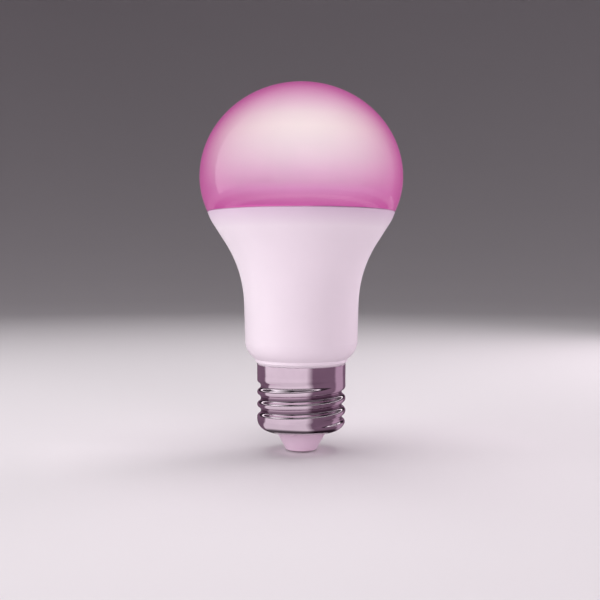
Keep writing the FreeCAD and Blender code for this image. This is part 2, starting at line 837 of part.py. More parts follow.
def lead_places():
    """(x, z, side) of every leaded part's holes; side is the face that the part stands on."""
    half = can_lead_spacing / 2
    places = []
    for foot_z in (input_can_foot_z, output_can_foot_z):
        places += [(-half, can_lead_z(foot_z), -1), (half, can_lead_z(foot_z), -1)]
    places += [(side * film_lead_spacing / 2, film_foot_z + lead_root, 1) for side in (-1, 1)]
    places += [(side * varistor_lead_spacing / 2, varistor_z, 1) for side in (-1, 1)]
    places += [(side * fuse_lead_span / 2, fuse_z, 1) for side in (-1, 1)]
    places += [(x, choke_pin_z(), 1) for x in choke_pin_x()]
    places += [(x, z, -1) for x in transformer_pin_x() for z in transformer_pin_z()]
    return places


def pin_positions(count):
    return centred(count, header_pitch)


def driver_board():
    low, step, top = board_foot_z, board_step_z, board_top_z
    tongue, wide = board_tongue_half_width, board_half_width
    slant = wide - tongue
    outline = [(-tongue, low), (tongue, low), (tongue, step), (wide, step + slant), (wide, top),
               (-wide, top), (-wide, step + slant), (-tongue, step)]
    corners = [Vector(x, -half_board, z) for x, z in outline]
    board = Part.Face(Part.makePolygon(corners + corners[:1])).extrude(Vector(0, board_thickness, 0))
    holes = [across(lead_radius + hole_gap, -half_board, half_board, x, z) for x, z, _ in lead_places()]
    holes += module_pin_blocks(hole_gap)
    return board.cut(group(holes))


def lead(x, z, y_start, z_start):
    """Lead that leaves a part at one height and turns into its hole in the board."""
    side = 1 if y_start > 0 else -1
    end_y = -side * far_y
    if abs(z_start - z) < 1e-6:
        return across(lead_radius, min(y_start, end_y), max(y_start, end_y), x, z)
    return round_wire([(x, y_start, z_start), (x, y_start, z), (x, end_y, z)], lead_radius, lead_bend_radius)


def can(foot_z, length):
    """Aluminium capacitor lying along the board's front, with a crimped neck and two leads."""
    y = -(half_board + can_radius + lay_gap)
    crimp_radius = can_radius - can_crimp_depth
    crimp_z = foot_z + (can_crimp_low + can_crimp_high) / 2
    top_z = foot_z + length
    body = lathe([
        (0, foot_z), (can_radius, foot_z), (can_radius, foot_z + can_crimp_low), (crimp_radius, crimp_z),
        (can_radius, foot_z + can_crimp_high), (can_radius, top_z - can_edge_chamfer),
        (can_radius - can_edge_chamfer, top_z), (0, top_z)])
    body.translate(Vector(0, y, 0))
    half = can_lead_spacing / 2
    leads = [lead(x, can_lead_z(foot_z), y, foot_z + lead_root) for x in (-half, half)]
    return body.fuse(leads).removeSplitter()


def film_capacitor():
    low_y = half_board + lay_gap
    half = film_length / 2
    body = block((-half, low_y, film_foot_z), (half, low_y + film_depth, film_foot_z + film_height))
    body = body.makeFillet(film_edge_radius, body.Edges)
    spread = film_lead_spacing / 2
    lead_z = film_foot_z + lead_root
    leads = [lead(x, lead_z, low_y + lead_root, lead_z) for x in (-spread, spread)]
    return body.fuse(leads).removeSplitter()


def varistor():
    low_y = half_board + varistor_stand_off
    body = across(varistor_radius, low_y, low_y + varistor_thickness, 0, varistor_z)
    body = body.makeFillet(varistor_edge_radius, [e for e in body.Edges if e.isClosed()])
    spread = varistor_lead_spacing / 2
    leads = [lead(x, varistor_z, low_y + lead_root, varistor_z) for x in (-spread, spread)]
    return body.fuse(leads).removeSplitter()


def fuse_resistor():
    y = half_board + fuse_radius + lay_gap
    half = fuse_length / 2
    body = Part.makeCylinder(fuse_radius, fuse_length, Vector(-half, y, fuse_z), Vector(1, 0, 0))
    body = body.makeFillet(fuse_edge_radius, [e for e in body.Edges if e.isClosed()])
    span = fuse_lead_span / 2
    route = [(-span, -far_y, fuse_z), (-span, y, fuse_z), (span, y, fuse_z), (span, -far_y, fuse_z)]
    return body.fuse(round_wire(route, lead_radius, lead_bend_radius)).removeSplitter()


def choke_pin_x():
    return (-choke_pin_spacing / 2, choke_pin_spacing / 2)


def choke_pin_z():
    return choke_foot_z + choke_length + choke_pin_rise


def choke_centre_y():
    return half_board + choke_radius + lay_gap


def inductor_core():
    y = choke_centre_y()
    top_z = choke_foot_z + choke_length
    core = lathe([
        (0, choke_foot_z), (choke_radius, choke_foot_z), (choke_radius, choke_foot_z + choke_flange),
        (choke_core_radius, choke_foot_z + choke_flange), (choke_core_radius, top_z - choke_flange),
        (choke_radius, top_z - choke_flange), (choke_radius, top_z), (0, top_z)])
    core.translate(Vector(0, y, 0))
    pins = [lead(x, choke_pin_z(), y, top_z - lead_root / 2) for x in choke_pin_x()]
    return core.fuse(pins).removeSplitter()


def wound_ring(outer, inner, z_low, z_high, turns):
    """Winding with a scalloped outside, one half-round ridge for each turn."""
    pitch = (z_high - z_low) / turns
    bite = pitch / 4
    edges = [line(Vector(inner, 0, z_low), Vector(outer - bite, 0, z_low))]
    for i in range(turns):
        low = Vector(outer - bite, 0, z_low + pitch * i)
        high = Vector(outer - bite, 0, z_low + pitch * (i + 1))
        edges.append(arc(low, Vector(outer, 0, (low.z + high.z) / 2), high))
    edges.append(line(edges[-1].valueAt(edges[-1].LastParameter), Vector(inner, 0, z_high)))
    edges.append(line(Vector(inner, 0, z_high), Vector(inner, 0, z_low)))
    return lathe_edges(edges)


def inductor_winding():
    low_z = choke_foot_z + choke_flange + lay_gap
    high_z = choke_foot_z + choke_length - choke_flange - lay_gap
    outer = choke_radius - choke_winding_step
    winding = wound_ring(outer, choke_core_radius + press_gap, low_z, high_z, choke_turns)
    winding.translate(Vector(0, choke_centre_y(), 0))
    return winding


def transformer_y():
    """Middle of the transformer, in front of the board."""
    return -(half_board + lay_gap + bobbin_wall + transformer_depth / 2)


def transformer_pin_x():
    reach = transformer_width / 2 + transformer_pin_reach
    return (-reach, reach)


def transformer_pin_z():
    middle = transformer_foot_z + transformer_height / 2
    return (middle - header_pitch, middle, middle + header_pitch)


def window():
    """Half width of the core's window, from its centre leg to its outer leg."""
    return transformer_width / 2 - transformer_leg


def core_leg_radius():
    return transformer_centre_leg / 2


def transformer_core():
    """Two facing E halves as one closed core, its round centre leg along Z."""
    y = transformer_y()
    half = transformer_width / 2
    half_depth = transformer_leg_depth / 2
    top_z = transformer_foot_z + transformer_height
    body = block((-half, y - half_depth, transformer_foot_z), (half, y + half_depth, top_z))
    opening = block((-window(), y - half_depth, transformer_foot_z + transformer_leg),
                    (window(), y + half_depth, top_z - transformer_leg))
    leg = disc(core_leg_radius(), transformer_foot_z, top_z, (0.0, y))
    return body.cut(opening).fuse(leg).removeSplitter()


def transformer_bobbin():
    """Spool around the centre leg, with a foot plate and pins on the board side."""
    y = transformer_y()
    low_z = transformer_foot_z + transformer_leg + lay_gap
    high_z = transformer_foot_z + transformer_height - transformer_leg - lay_gap
    hole = core_leg_radius() + hole_gap
    barrel = hole + bobbin_wall
    flange = window() - hole_gap
    spool = lathe([
        (hole, low_z), (flange, low_z), (flange, low_z + bobbin_wall), (barrel, low_z + bobbin_wall),
        (barrel, high_z - bobbin_wall), (flange, high_z - bobbin_wall), (flange, high_z), (hole, high_z)])
    spool.translate(Vector(0, y, 0))
    plate_y = -(half_board + lay_gap)
    half = transformer_width / 2 + transformer_plate_reach
    plate = block((-half, plate_y - bobbin_wall, low_z), (half, plate_y, high_z))
    middle = disc(barrel, low_z, high_z, (0, y))
    web_low = block((-barrel, y, low_z), (barrel, plate_y, low_z + bobbin_wall)).cut(middle)
    web_high = block((-barrel, y, high_z - bobbin_wall), (barrel, plate_y, high_z)).cut(middle)
    root_y = plate_y - bobbin_wall / 2
    pins = [lead(x, z, root_y, z) for x in transformer_pin_x() for z in transformer_pin_z()]
    return spool.fuse([plate, web_low, web_high] + pins).removeSplitter()


def transformer_winding():
    end_stack = transformer_leg + lay_gap + bobbin_wall + press_gap
    low_z = transformer_foot_z + end_stack
    high_z = transformer_foot_z + transformer_height - end_stack
    barrel = core_leg_radius() + hole_gap + bobbin_wall + press_gap
    winding = wound_ring(window() - winding_gap - hole_gap, barrel, low_z, high_z, transformer_turns)
    winding.translate(Vector(0, transformer_y(), 0))
    return winding


def leg_shapes(at, end, depth, middle):
    """One gull-wing leg: a root in the body, an upright and a foot on the board."""
    low_x = at - leg_width / 2
    high_x = at + leg_width / 2
    half = leg_thickness / 2

    def stretch(near, far, low_y, high_y):
        low_z, high_z = sorted((end * (depth / 2 + near), end * (depth / 2 + far)))
        return block((low_x, low_y, low_z), (high_x, high_y, high_z))

    return [stretch(-leg_root, leg_knee + leg_thickness, middle - half, middle + half),
            stretch(leg_knee, leg_knee + leg_thickness, half_board, middle + half),
            stretch(leg_knee, leg_foot, half_board, half_board + leg_thickness)]


def chip(size, legs, x, z, side):
    """Moulded chip on a face of the driver board, with legs along its two long sides."""
    width, depth, height = size
    near = half_board + chip_stand_off
    body = block((-width / 2, near, -depth / 2), (width / 2, near + height, depth / 2))
    body = body.makeChamfer(leg_thickness, body.Edges)
    pitch = width / legs
    parts = []
    for i in range(legs):
        for end in (-1, 1):
            parts += leg_shapes(pitch * (i + 0.5) - width / 2, end, depth, near + height / 2)
    part = body.fuse(parts).removeSplitter()
    if side < 0:
        part.rotate(Vector(0, 0, 0), Vector(0, 0, 1), 180)
    part.translate(Vector(x, 0, z))
    return part


def bridge_rectifier():
    x = rectifier_inset - board_tongue_half_width
    return chip(rectifier_size, rectifier_legs, x, rectifier_z, -1)


def driver_chip():
    x = driver_chip_inset - board_tongue_half_width
    return chip(driver_chip_size, driver_chip_legs, x, driver_chip_z, 1)


def centred(count, pitch):
    """Places in a row about the middle."""
    return [pitch * (i - (count - 1) / 2) for i in range(count)]


def dimming_transistors():
    z = board_top_z - transistor_drop
    places = centred(transistor_count, transistor_pitch)
    return group([chip(transistor_size, transistor_legs, x, z, 1) for x in places])


def chip_part(size, x, z, side):
    """Surface-mount block, laid on a face of the driver board."""
    length, width, height = size
    low_y, high_y = sorted((side * half_board, side * (half_board + height)))
    body = block((x - length / 2, low_y, z - width / 2), (x + length / 2, high_y, z + width / 2))
    return body.makeFillet(chip_edge_radius, body.Edges)


def chip_resistors():
    column_x = column_inset - board_half_width
    places = [(x, board_top_z - row_drop, 1) for x in centred(5, row_pitch)]
    places += [(column_x, column_z + column_pitch * i, -1) for i in range(4)]
    return group([chip_part(resistor_size, x, z, side) for x, z, side in places])


def chip_capacitors():
    column_x = board_half_width - column_inset
    low_column_x = board_tongue_half_width - low_column_inset
    places = [(column_x, column_z + column_pitch * i, -1) for i in range(4)]
    places += [(low_column_x, low_column_z + low_column_pitch * i, 1) for i in range(3)]
    return group([chip_part(capacitor_size, x, z, side) for x, z, side in places])


def solder_joints():
    joints = []
    for x, z, side in lead_places():
        foot = Vector(x, -side * half_board, z)
        cone = Part.makeCone(solder_foot_radius, solder_tip_radius, solder_height, foot, Vector(0, -side, 0))
        joints.append(cone.cut(across(lead_radius, -far_y, far_y, x, z)))
    return group(joints)


# ---------------------------------------------------------------- radio module and connectors

def module_pin_z():
    return module_foot_z + header_height / 2


def square_pin(low, high, centre, axis, gap):
    """Square pin along Y or Z, grown all round by a gap."""
    half = pin_side / 2 + gap
    a, b = centre
    if axis == "y":
        return block((a - half, low, b - half), (a + half, high, b + half))
    return block((a - half, b - half, low), (a + half, b + half, high))


def module_pin_blocks(gap):
    end_y = module_back_y + pin_tail
    places = [(x, module_pin_z()) for x in pin_positions(module_pin_count)]
    return [square_pin(-far_y, end_y, place, "y", gap) for place in places]


def light_pin_y():
    return -(half_board + lay_gap + pin_side / 2)


def light_pin_blocks(gap):
    top_z = light_board_top_z + pin_tail
    places = [(x, light_pin_y()) for x in pin_positions(light_pin_count)]
    return [square_pin(light_pin_foot_z, top_z, place, "z", gap) for place in places]


def wifi_module_board():
    half = module_width / 2
    board = block((-half, module_offset, module_foot_z), (half, module_back_y, module_foot_z + module_height))
    return board.cut(group(module_pin_blocks(hole_gap)))


def wifi_shield():
    """Pressed sheet-metal can, open towards the module board."""
    low_z = module_foot_z + header_height + shield_rise
    half = shield_width / 2
    body = block((-half, module_back_y, low_z), (half, module_back_y + shield_depth, low_z + shield_height))
    corners = [e for e in body.Edges if abs(e.BoundBox.YMax - body.BoundBox.YMax) < 1e-6]
    body = body.makeFillet(shield_edge_radius, corners)
    hollow = block((-half + shield_sheet, module_back_y, low_z + shield_sheet),
                   (half - shield_sheet, module_back_y + shield_depth - shield_sheet,
                    low_z + shield_height - shield_sheet))
    return body.cut(hollow)


def antenna_trace():
    """Folded copper track near the top of the module board."""
    low_y, high_y = module_back_y, module_back_y + antenna_copper
    step = antenna_span / (2 * antenna_turns)
    top_z = module_foot_z + module_height - antenna_edge_gap
    low_z = top_z - antenna_reach
    half_track = antenna_track / 2
    strips = []
    for i in range(2 * antenna_turns + 1):
        x = -antenna_span / 2 + step * i
        strips.append(block((x - half_track, low_y, low_z), (x + half_track, high_y, top_z)))
    for i in range(2 * antenna_turns):
        x = -antenna_span / 2 + step * i
        z = top_z - antenna_track if i % 2 == 0 else low_z
        strips.append(block((x, low_y, z), (x + step, high_y, z + antenna_track)))
    return strips[0].fuse(strips[1:]).removeSplitter()


def module_header():
    half = header_pitch * module_pin_count / 2
    low_y = half_board + lay_gap
    high_y = module_offset - lay_gap
    body = block((-half, low_y, module_foot_z), (half, high_y, module_foot_z + header_height))
    return body.cut(group(module_pin_blocks(0.0)))


def light_socket():
    """Plastic spacer around the pins, under the light board."""
    half = header_pitch * light_pin_count / 2
    top_z = light_board_z - lay_gap
    y = light_pin_y()
    body = block((-half, y - socket_depth / 2, top_z - socket_height), (half, y + socket_depth / 2, top_z))
    return body.cut(group(light_pin_blocks(0.0)))


# ---------------------------------------------------------------- wires

def wire_side_y(radius):
    """Distance of a wire's middle from the board's middle when it lies on the board."""
    return half_board + radius + lay_gap


def neutral_run_x():
    """Distance out of the stretch that lies between the neck and the shell's groove roots."""
    root_inside = cap_radius - groove_depth - shell_wall
    reach = root_inside - neutral_wire_radius - press_gap
    return math.sqrt(reach ** 2 - wire_side_y(neutral_wire_radius) ** 2)


def neutral_cross_z():
    return neck_foot_z + neutral_wire_radius + neutral_rise


def neutral_end_z():
    return neutral_cross_z() + 2.4 * wire_bend_radius


def neutral_wire():
    y = -wire_side_y(neutral_wire_radius)
    cross_z = neutral_cross_z()
    route = [(wire_pad_x, y, wire_pad_z + wire_end_rise), (wire_pad_x, y, cross_z),
             (neutral_run_x(), y, cross_z), (neutral_run_x(), y, neutral_end_z())]
    return round_wire(route, neutral_wire_radius, wire_bend_radius)


def live_wire():
    y = -wire_side_y(live_wire_radius)
    leave_z = insulator_top_z + rivet_height + live_rise
    route = [(0, 0, leave_z - live_stem_length), (0, 0, leave_z),
             (-wire_pad_x, y, leave_z + wire_slant), (-wire_pad_x, y, wire_pad_z + wire_end_rise)]
    return round_wire(route, live_wire_radius, wire_bend_radius)


NODES = {
    "diffuser_dome": diffuser_dome,
    "dome_seal": dome_seal,
    "housing_shell": housing_shell,
    "screw_shell": screw_shell,
    "cap_insulator": cap_insulator,
    "centre_contact": centre_contact,
    "heat_sink_cup": heat_sink_cup,
    "thermal_pad": thermal_pad,
    "led_board": led_board,
    "led_board_screws": led_board_screws,
    "warm_white_leds": lambda: white_leds(0),
    "cool_white_leds": lambda: white_leds(1),
    "rgb_leds": rgb_leds,
    "driver_sleeve": driver_sleeve,
    "driver_board": driver_board,
    "input_capacitor": lambda: can(input_can_foot_z, input_can_length),
    "output_capacitor": lambda: can(output_can_foot_z, output_can_length),
    "film_capacitor": film_capacitor,
    "varistor": varistor,
    "fuse_resistor": fuse_resistor,
    "inductor_core": inductor_core,
    "inductor_winding": inductor_winding,
    "transformer_core": transformer_core,
    "transformer_bobbin": transformer_bobbin,
    "transformer_winding": transformer_winding,
    "bridge_rectifier": bridge_rectifier,
    "driver_chip": driver_chip,
    "dimming_transistors": dimming_transistors,
    "chip_resistors": chip_resistors,
    "chip_capacitors": chip_capacitors,
    "solder_joints": solder_joints,
    "wifi_module_board": wifi_module_board,
    "wifi_shield": wifi_shield,
    "antenna_trace": antenna_trace,
    "module_header": module_header,
    "module_header_pins": lambda: group(module_pin_blocks(0.0)),
    "light_socket": light_socket,
    "light_pins": lambda: group(light_pin_blocks(0.0)),
    "live_wire": live_wire,
    "neutral_wire": neutral_wire,
}

os.makedirs("parts", exist_ok=True)
for node, make in NODES.items():
    save(node, make())
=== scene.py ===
import json
import math

import bmesh
import bpy
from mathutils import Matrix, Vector

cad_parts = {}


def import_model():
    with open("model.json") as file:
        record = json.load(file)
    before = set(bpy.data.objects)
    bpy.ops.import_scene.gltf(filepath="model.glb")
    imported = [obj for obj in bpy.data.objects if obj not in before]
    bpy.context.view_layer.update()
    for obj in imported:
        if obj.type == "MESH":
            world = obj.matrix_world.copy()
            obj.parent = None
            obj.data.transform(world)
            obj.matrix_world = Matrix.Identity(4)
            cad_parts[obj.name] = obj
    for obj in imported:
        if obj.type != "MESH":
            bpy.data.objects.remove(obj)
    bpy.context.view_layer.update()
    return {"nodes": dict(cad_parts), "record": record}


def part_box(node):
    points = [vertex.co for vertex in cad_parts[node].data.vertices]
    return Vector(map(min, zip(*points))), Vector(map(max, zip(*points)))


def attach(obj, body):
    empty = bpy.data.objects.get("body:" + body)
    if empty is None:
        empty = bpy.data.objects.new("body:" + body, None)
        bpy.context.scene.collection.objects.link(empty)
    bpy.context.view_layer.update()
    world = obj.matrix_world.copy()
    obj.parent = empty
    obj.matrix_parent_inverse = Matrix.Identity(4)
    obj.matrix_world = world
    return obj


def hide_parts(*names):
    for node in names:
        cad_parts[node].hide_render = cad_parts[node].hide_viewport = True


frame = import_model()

# A screw-in smart light bulb, lit pink, cap down on a pale studio floor.
# Shapes are worked out in millimetres and turned into metres where a mesh is made.

nodes = frame["nodes"]
MM = 0.001


def mount(name):
    return next(m for m in frame["record"]["mounts"] if m["name"] == name)


# ---------------------------------------------------------------- view and stage (metres)
CAMERA_DISTANCE = 0.270
CAMERA_HEIGHT = 0.0548
CAMERA_LENS_MM = 54.7
SENSOR_WIDTH_MM = 36.0
CAMERA_SHIFT_X = -0.0022
CAMERA_SHIFT_Y = -0.0583
FLOOR_RADIUS = 1.4
FLOOR_CURVE = 0.6
WALL_HEIGHT = 1.6
FLOOR_SIDES = 96

# ---------------------------------------------------------------- dome (mm)
dome_low, dome_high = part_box("diffuser_dome")
DOME_RADIUS = min(dome_high.x, dome_high.y) / MM
DOME_TOP_Z = dome_high.z / MM
SKIRT_FOOT_Z = dome_low.z / MM
DOME_WIDEST_Z = 80.7
DOME_EDGE_RADIUS = 27.71
SKIRT_LENGTH = 2.35
SKIRT_RADIUS = 25.75
SKIRT_BORE_RADIUS = 24.25
SKIRT_BEAD = 0.25
BEAD_RISE = 1.23               # bead above the skirt's foot
FUNNEL_HEIGHT = 1.6
DOME_WALL = 1.8
SKIN_WALL = 0.3                # clear, glossy outer layer of the dome's wall
SKIN_GAP = 0.02
DOME_EDGE_Z = SKIRT_FOOT_Z + SKIRT_LENGTH
DOME_LOWER_HEIGHT = (DOME_WIDEST_Z - DOME_EDGE_Z) / math.sqrt(1 - (DOME_EDGE_RADIUS / DOME_RADIUS) ** 2)
DOME_SIDES = 192
DOME_STEPS = 40                # steps from the apex to the widest circle

# ---------------------------------------------------------------- screw shell (mm)
CREST_RADIUS = mount("e27_cap")["dims"]["r_mm"]
COLLAR_RADIUS = mount("cap_collar")["dims"]["r_mm"]
COLLAR_HALF = mount("cap_collar")["dims"]["length_mm"] / 2
COLLAR_FOOT_Z = mount("cap_collar")["pos_m"][2] / MM - COLLAR_HALF
SHELL_TOP_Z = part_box("screw_shell")[1].z / MM
SHELL_RIM_Z = 6.1
SHELL_WALL = 0.3
CURL_RADIUS = 3.5
RIM_REACH = 1.2
COLLAR_LEAD = 0.1              # height of the small step from the thread skin out to the collar
THREAD_PITCH = 3.629
THREAD_ARC = 1.025
CREST_Z = 10.15
GROOVE_START_Z = 9.05
GROOVE_FULL_Z = 10.15
GROOVE_FADE_Z = 19.0
GROOVE_END_Z = 20.9
SHELL_SIDES = 256
ROWS_PER_PITCH = 26
CURL_STEPS = 12
CURL_END = math.radians(60)    # how far round the rounding the plain rings go before the thread
CURL_CENTRE_Z = SHELL_RIM_Z + CURL_RADIUS
CURL_CENTRE_RADIUS = CREST_RADIUS - CURL_RADIUS
TANGENT_SINE = THREAD_PITCH / 4 / THREAD_ARC
GROOVE_DEPTH = 2 * THREAD_ARC * (1 - math.sqrt(1 - TANGENT_SINE ** 2))


# ---------------------------------------------------------------- mesh helpers

def object_from(name, bm, material, sharp_deg=35.0):
    """Smooth object from a bmesh, with its edges sharp past an angle."""
    bmesh.ops.recalc_face_normals(bm, faces=bm.faces)
    mesh = bpy.data.meshes.new(name)
    bm.to_mesh(mesh)
    bm.free()
    mesh.polygons.foreach_set("use_smooth", [True] * len(mesh.polygons))
    mesh.set_sharp_from_angle(angle=math.radians(sharp_deg))
    mesh.materials.append(material)
    piece = bpy.data.objects.new(name, mesh)
    bpy.context.scene.collection.objects.link(piece)
    return piece


def ring_points(radius, z, sides):
    """Circle of points about the axis; the radius is a number or a function of the angle."""
    points = []
    for i in range(sides):
        angle = 2 * math.pi * i / sides - math.pi
        r = radius(angle) if callable(radius) else radius
        points.append((r * math.cos(angle) * MM, r * math.sin(angle) * MM, z * MM))
    return points


def tube_of_rings(bm, rings):
    """Faces between rings of points, closed round the axis and from the last ring to the first."""
    rows = [[bm.verts.new(p) for p in ring] for ring in rings]
    for low, high in zip(rows, rows[1:] + rows[:1]):
        for i in range(len(low)):
            j = (i + 1) % len(low)
            bm.faces.new((low[i], low[j], high[j], high[i]))


def turned(bm, profile, sides):
    """Surface of revolution of an open profile that begins and ends on the axis."""
    rows = []
    for radius, z in profile:
        if radius == 0.0:
            rows.append([bm.verts.new((0.0, 0.0, z * MM))])
        else:
            rows.append([bm.verts.new(p) for p in ring_points(radius, z, sides)])
    for low, high in zip(rows, rows[1:]):
        for i in range(sides):
            j = (i + 1) % sides
            if len(low) == 1:
                bm.faces.new((low[0], high[j], high[i]))
            elif len(high) == 1:
                bm.faces.new((low[i], low[j], high[0]))
            else:
                bm.faces.new((low[i], low[j], high[j], high[i]))


# ---------------------------------------------------------------- node helpers

GRAIN_HEIGHT = 0.00002         # metres that fine grain stands up by


class Nodes:
    """A material's node tree, with short ways to add and join nodes."""

    def __init__(self, name):
        self.material = bpy.data.materials.new(name)
        self.material.use_nodes = True
        self.tree = self.material.node_tree
        self.shader = self.tree.nodes["Principled BSDF"]
        self.output = self.tree.nodes["Material Output"]

    def add(self, kind, settings=None, **inputs):
        node = self.tree.nodes.new("ShaderNode" + kind)
        for key, value in (settings or {}).items():
            setattr(node, key, value)
        for key, value in inputs.items():
            self.feed(node.inputs[key.replace("_", " ")], value)
        return node

    def feed(self, socket, value):
        if isinstance(value, bpy.types.NodeSocket):
            self.tree.links.new(value, socket)
        elif socket.type == "RGBA" and len(value) == 3:
            socket.default_value = (*value, 1.0)
        else:
            socket.default_value = value

    def set(self, **values):
        """Sets the shader's sockets; underscores stand for spaces."""
        for key, value in values.items():
            self.feed(self.shader.inputs[key.replace("_", " ")], value)

    def here(self):
        return self.add("TexCoord").outputs["Object"]

    def axis(self, letter):
        """One object coordinate, in metres."""
        return self.add("SeparateXYZ", Vector=self.here()).outputs[letter]

    def math(self, operation, a, b=0.0):
        node = self.add("Math", {"operation": operation})
        self.feed(node.inputs[0], a)
        self.feed(node.inputs[1], b)
        return node.outputs["Value"]

    def noise(self, scale, detail=3.0, roughness=0.5, stretch=(1.0, 1.0, 1.0)):
        spot = self.add("Mapping", Vector=self.here(), Scale=stretch).outputs["Vector"]
        node = self.add("TexNoise", Vector=spot, Scale=scale, Detail=detail, Roughness=roughness)
        return node.outputs["Fac"]

    def spread(self, value, low, high, from_low=0.3, from_high=0.7):
        """Maps a value between two numbers."""
        node = self.add("MapRange", Value=value, From_Min=from_low, From_Max=from_high,
                        To_Min=low, To_Max=high)
        return node.outputs["Result"]

    def ramp(self, value, stops, kind="LINEAR"):
        """Colours along a value, from (position, colour) stops."""
        node = self.add("ValToRGB", Fac=value)
        ramp = node.color_ramp
        ramp.interpolation = kind
        while len(ramp.elements) < len(stops):
            ramp.elements.new(1.0)
        for element, (position, colour) in zip(ramp.elements, stops):
            element.position = position
            element.color = (*colour, 1.0)
        return node.outputs["Color"]

    def mix(self, share, one, other):
        """Colour mix."""
        node = self.add("Mix", {"data_type": "RGBA"})
        self.feed(node.inputs[0], share)
        self.feed(node.inputs[6], one)
        self.feed(node.inputs[7], other)
        return node.outputs[2]

    def bump(self, height, strength, distance):
        return self.add("Bump", Height=height, Strength=strength, Distance=distance).outputs["Normal"]


def linear(r, g, b):
    """Linear colour from 0 to 255 screen values."""
    def one(c):
        c /= 255
        return c / 12.92 if c <= 0.04045 else ((c + 0.055) / 1.055) ** 2.4
    return one(r), one(g), one(b)


def shades(colour, amount):
    """A darker and a lighter neighbour of a colour."""
    return tuple(c * (1 - amount) for c in colour), tuple(min(1.0, c * (1 + amount)) for c in colour)


def mottled(n, colour, amount, scale):
    """A colour that wanders a little from place to place."""
    low, high = shades(colour, amount)
    return n.ramp(n.noise(scale, 2.0, 0.5), [(0.3, low), (0.7, high)])


# ---------------------------------------------------------------- dome

DOME_LIGHT = 2.45              # strength that the glow colours below are parts of
DOME_GLOW = [                  # (height in mm, colour) of the light inside the dome's wall
    (70.7, (0.50, 0.14, 0.34)), (71.0, (0.00, 0.03, 0.04)), (73.0, (0.16, 0.24, 0.21)),
    (75.1, (0.31, 0.44, 0.45)), (77.2, (0.36, 0.67, 0.54)), (79.4, (0.56, 0.94, 0.77)),
    (83.4, (0.79, 1.42, 1.05)), (87.8, (1.02, 1.85, 1.30)), (92.3, (1.30, 2.29, 1.53)),
    (96.0, (1.34, 2.38, 1.62)), (99.6, (1.27, 2.12, 1.58)), (102.5, (1.25, 1.94, 1.56)),
    (108.0, (1.25, 1.94, 1.56))]
SKIN_GLOW = (0.55, 0.10, 0.34)
SKIN_DEPTH = 1.0               # optical depth straight through the skin


def lit_body_material():
    """White core of the lit dome: dim and pink at the rim, and close to white high up."""
    n = Nodes("lit_opal_core")
    share = n.spread(n.axis("Z"), 0.0, 1.0, SKIRT_FOOT_Z * MM, DOME_TOP_Z * MM)
    cloud = n.noise(45.0, 2.0, 0.5)
    up = n.math("ADD", share, n.spread(cloud, -0.008, 0.008))
    height = DOME_TOP_Z - SKIRT_FOOT_Z
    stops = [((z - SKIRT_FOOT_Z) / height, tuple(c / DOME_LIGHT for c in colour)) for z, colour in DOME_GLOW]
    fine = n.noise(700.0, 3.0, 0.5)
    n.set(Base_Color=mottled(n, (0.05, 0.035, 0.045), 0.2, 120.0), Roughness=n.spread(fine, 0.8, 1.0),
          Specular_IOR_Level=0.0, Emission_Color=n.ramp(up, stops), Emission_Strength=DOME_LIGHT)
    return n.material


def clear_skin_material():
    """Outer layer of the dome's wall: it glows pink itself and dims what lies behind it."""
    n = Nodes("opal_skin")
    outer = n.add("Attribute", {"attribute_name": "outer_face"}).outputs["Fac"]
    glow = n.mix(outer, (0.0, 0.0, 0.0), mottled(n, SKIN_GLOW, 0.02, 160.0))
    fine = n.noise(1500.0, 3.0, 0.5)
    n.set(Base_Color=(1.0, 1.0, 1.0), Transmission_Weight=1.0, IOR=1.02, Specular_IOR_Level=0.0,
          Roughness=n.spread(fine, 0.02, 0.04), Coat_Weight=0.5, Coat_IOR=1.5, Coat_Roughness=0.05,
          Emission_Color=glow, Emission_Strength=1.0)
    density = SKIN_DEPTH / (SKIN_WALL * MM)
    volume = n.add("VolumeAbsorption", Color=(0.0, 0.0, 0.0), Density=density)
    n.feed(n.output.inputs["Volume"], volume.outputs["Volume"])
    return n.material


def oval_point(angle, inset):
    """Point of the dome's outline at an angle up from its widest circle, inset from the outside."""
    rise = DOME_TOP_Z - DOME_WIDEST_Z if angle >= 0 else DOME_LOWER_HEIGHT
    radius = (DOME_RADIUS - inset) * math.cos(angle)
    return radius, DOME_WIDEST_Z + (rise - inset) * math.sin(angle)


def oval_side(inset, foot_z):
    """Outline from the apex down to a height below the widest circle."""
    low_angle = math.asin((foot_z - DOME_WIDEST_Z) / (DOME_LOWER_HEIGHT - inset))
    upper = [oval_point(math.pi / 2 * (1 - i / DOME_STEPS), inset) for i in range(1, DOME_STEPS)]
    low_steps = max(4, round(DOME_STEPS * -low_angle / (math.pi / 2) * 1.5))
    lower = [oval_point(low_angle * i / low_steps, inset) for i in range(low_steps + 1)]
    return [(0.0, DOME_TOP_Z - inset)] + upper + lower


def dome_clear_skin():
    """Closed thin shell over the whole dome; its outer sheet carries the attribute outer_face."""
    outside = oval_side(0.0, DOME_EDGE_Z)
    inside = oval_side(SKIN_WALL, DOME_EDGE_Z)
    bm = bmesh.new()
    turned(bm, outside + inside[::-1], DOME_SIDES)
    piece = object_from("dome_clear_skin", bm, clear_skin_material(), 60.0)
    mesh = piece.data
    flags = mesh.attributes.new("outer_face", "FLOAT", "POINT")
    middle = Vector((0.0, 0.0, DOME_WIDEST_Z * MM))
    for vertex, flag in zip(mesh.vertices, flags.data):
        flag.value = 1.0 if vertex.normal.dot(vertex.co - middle) > 0 else 0.0
    return piece


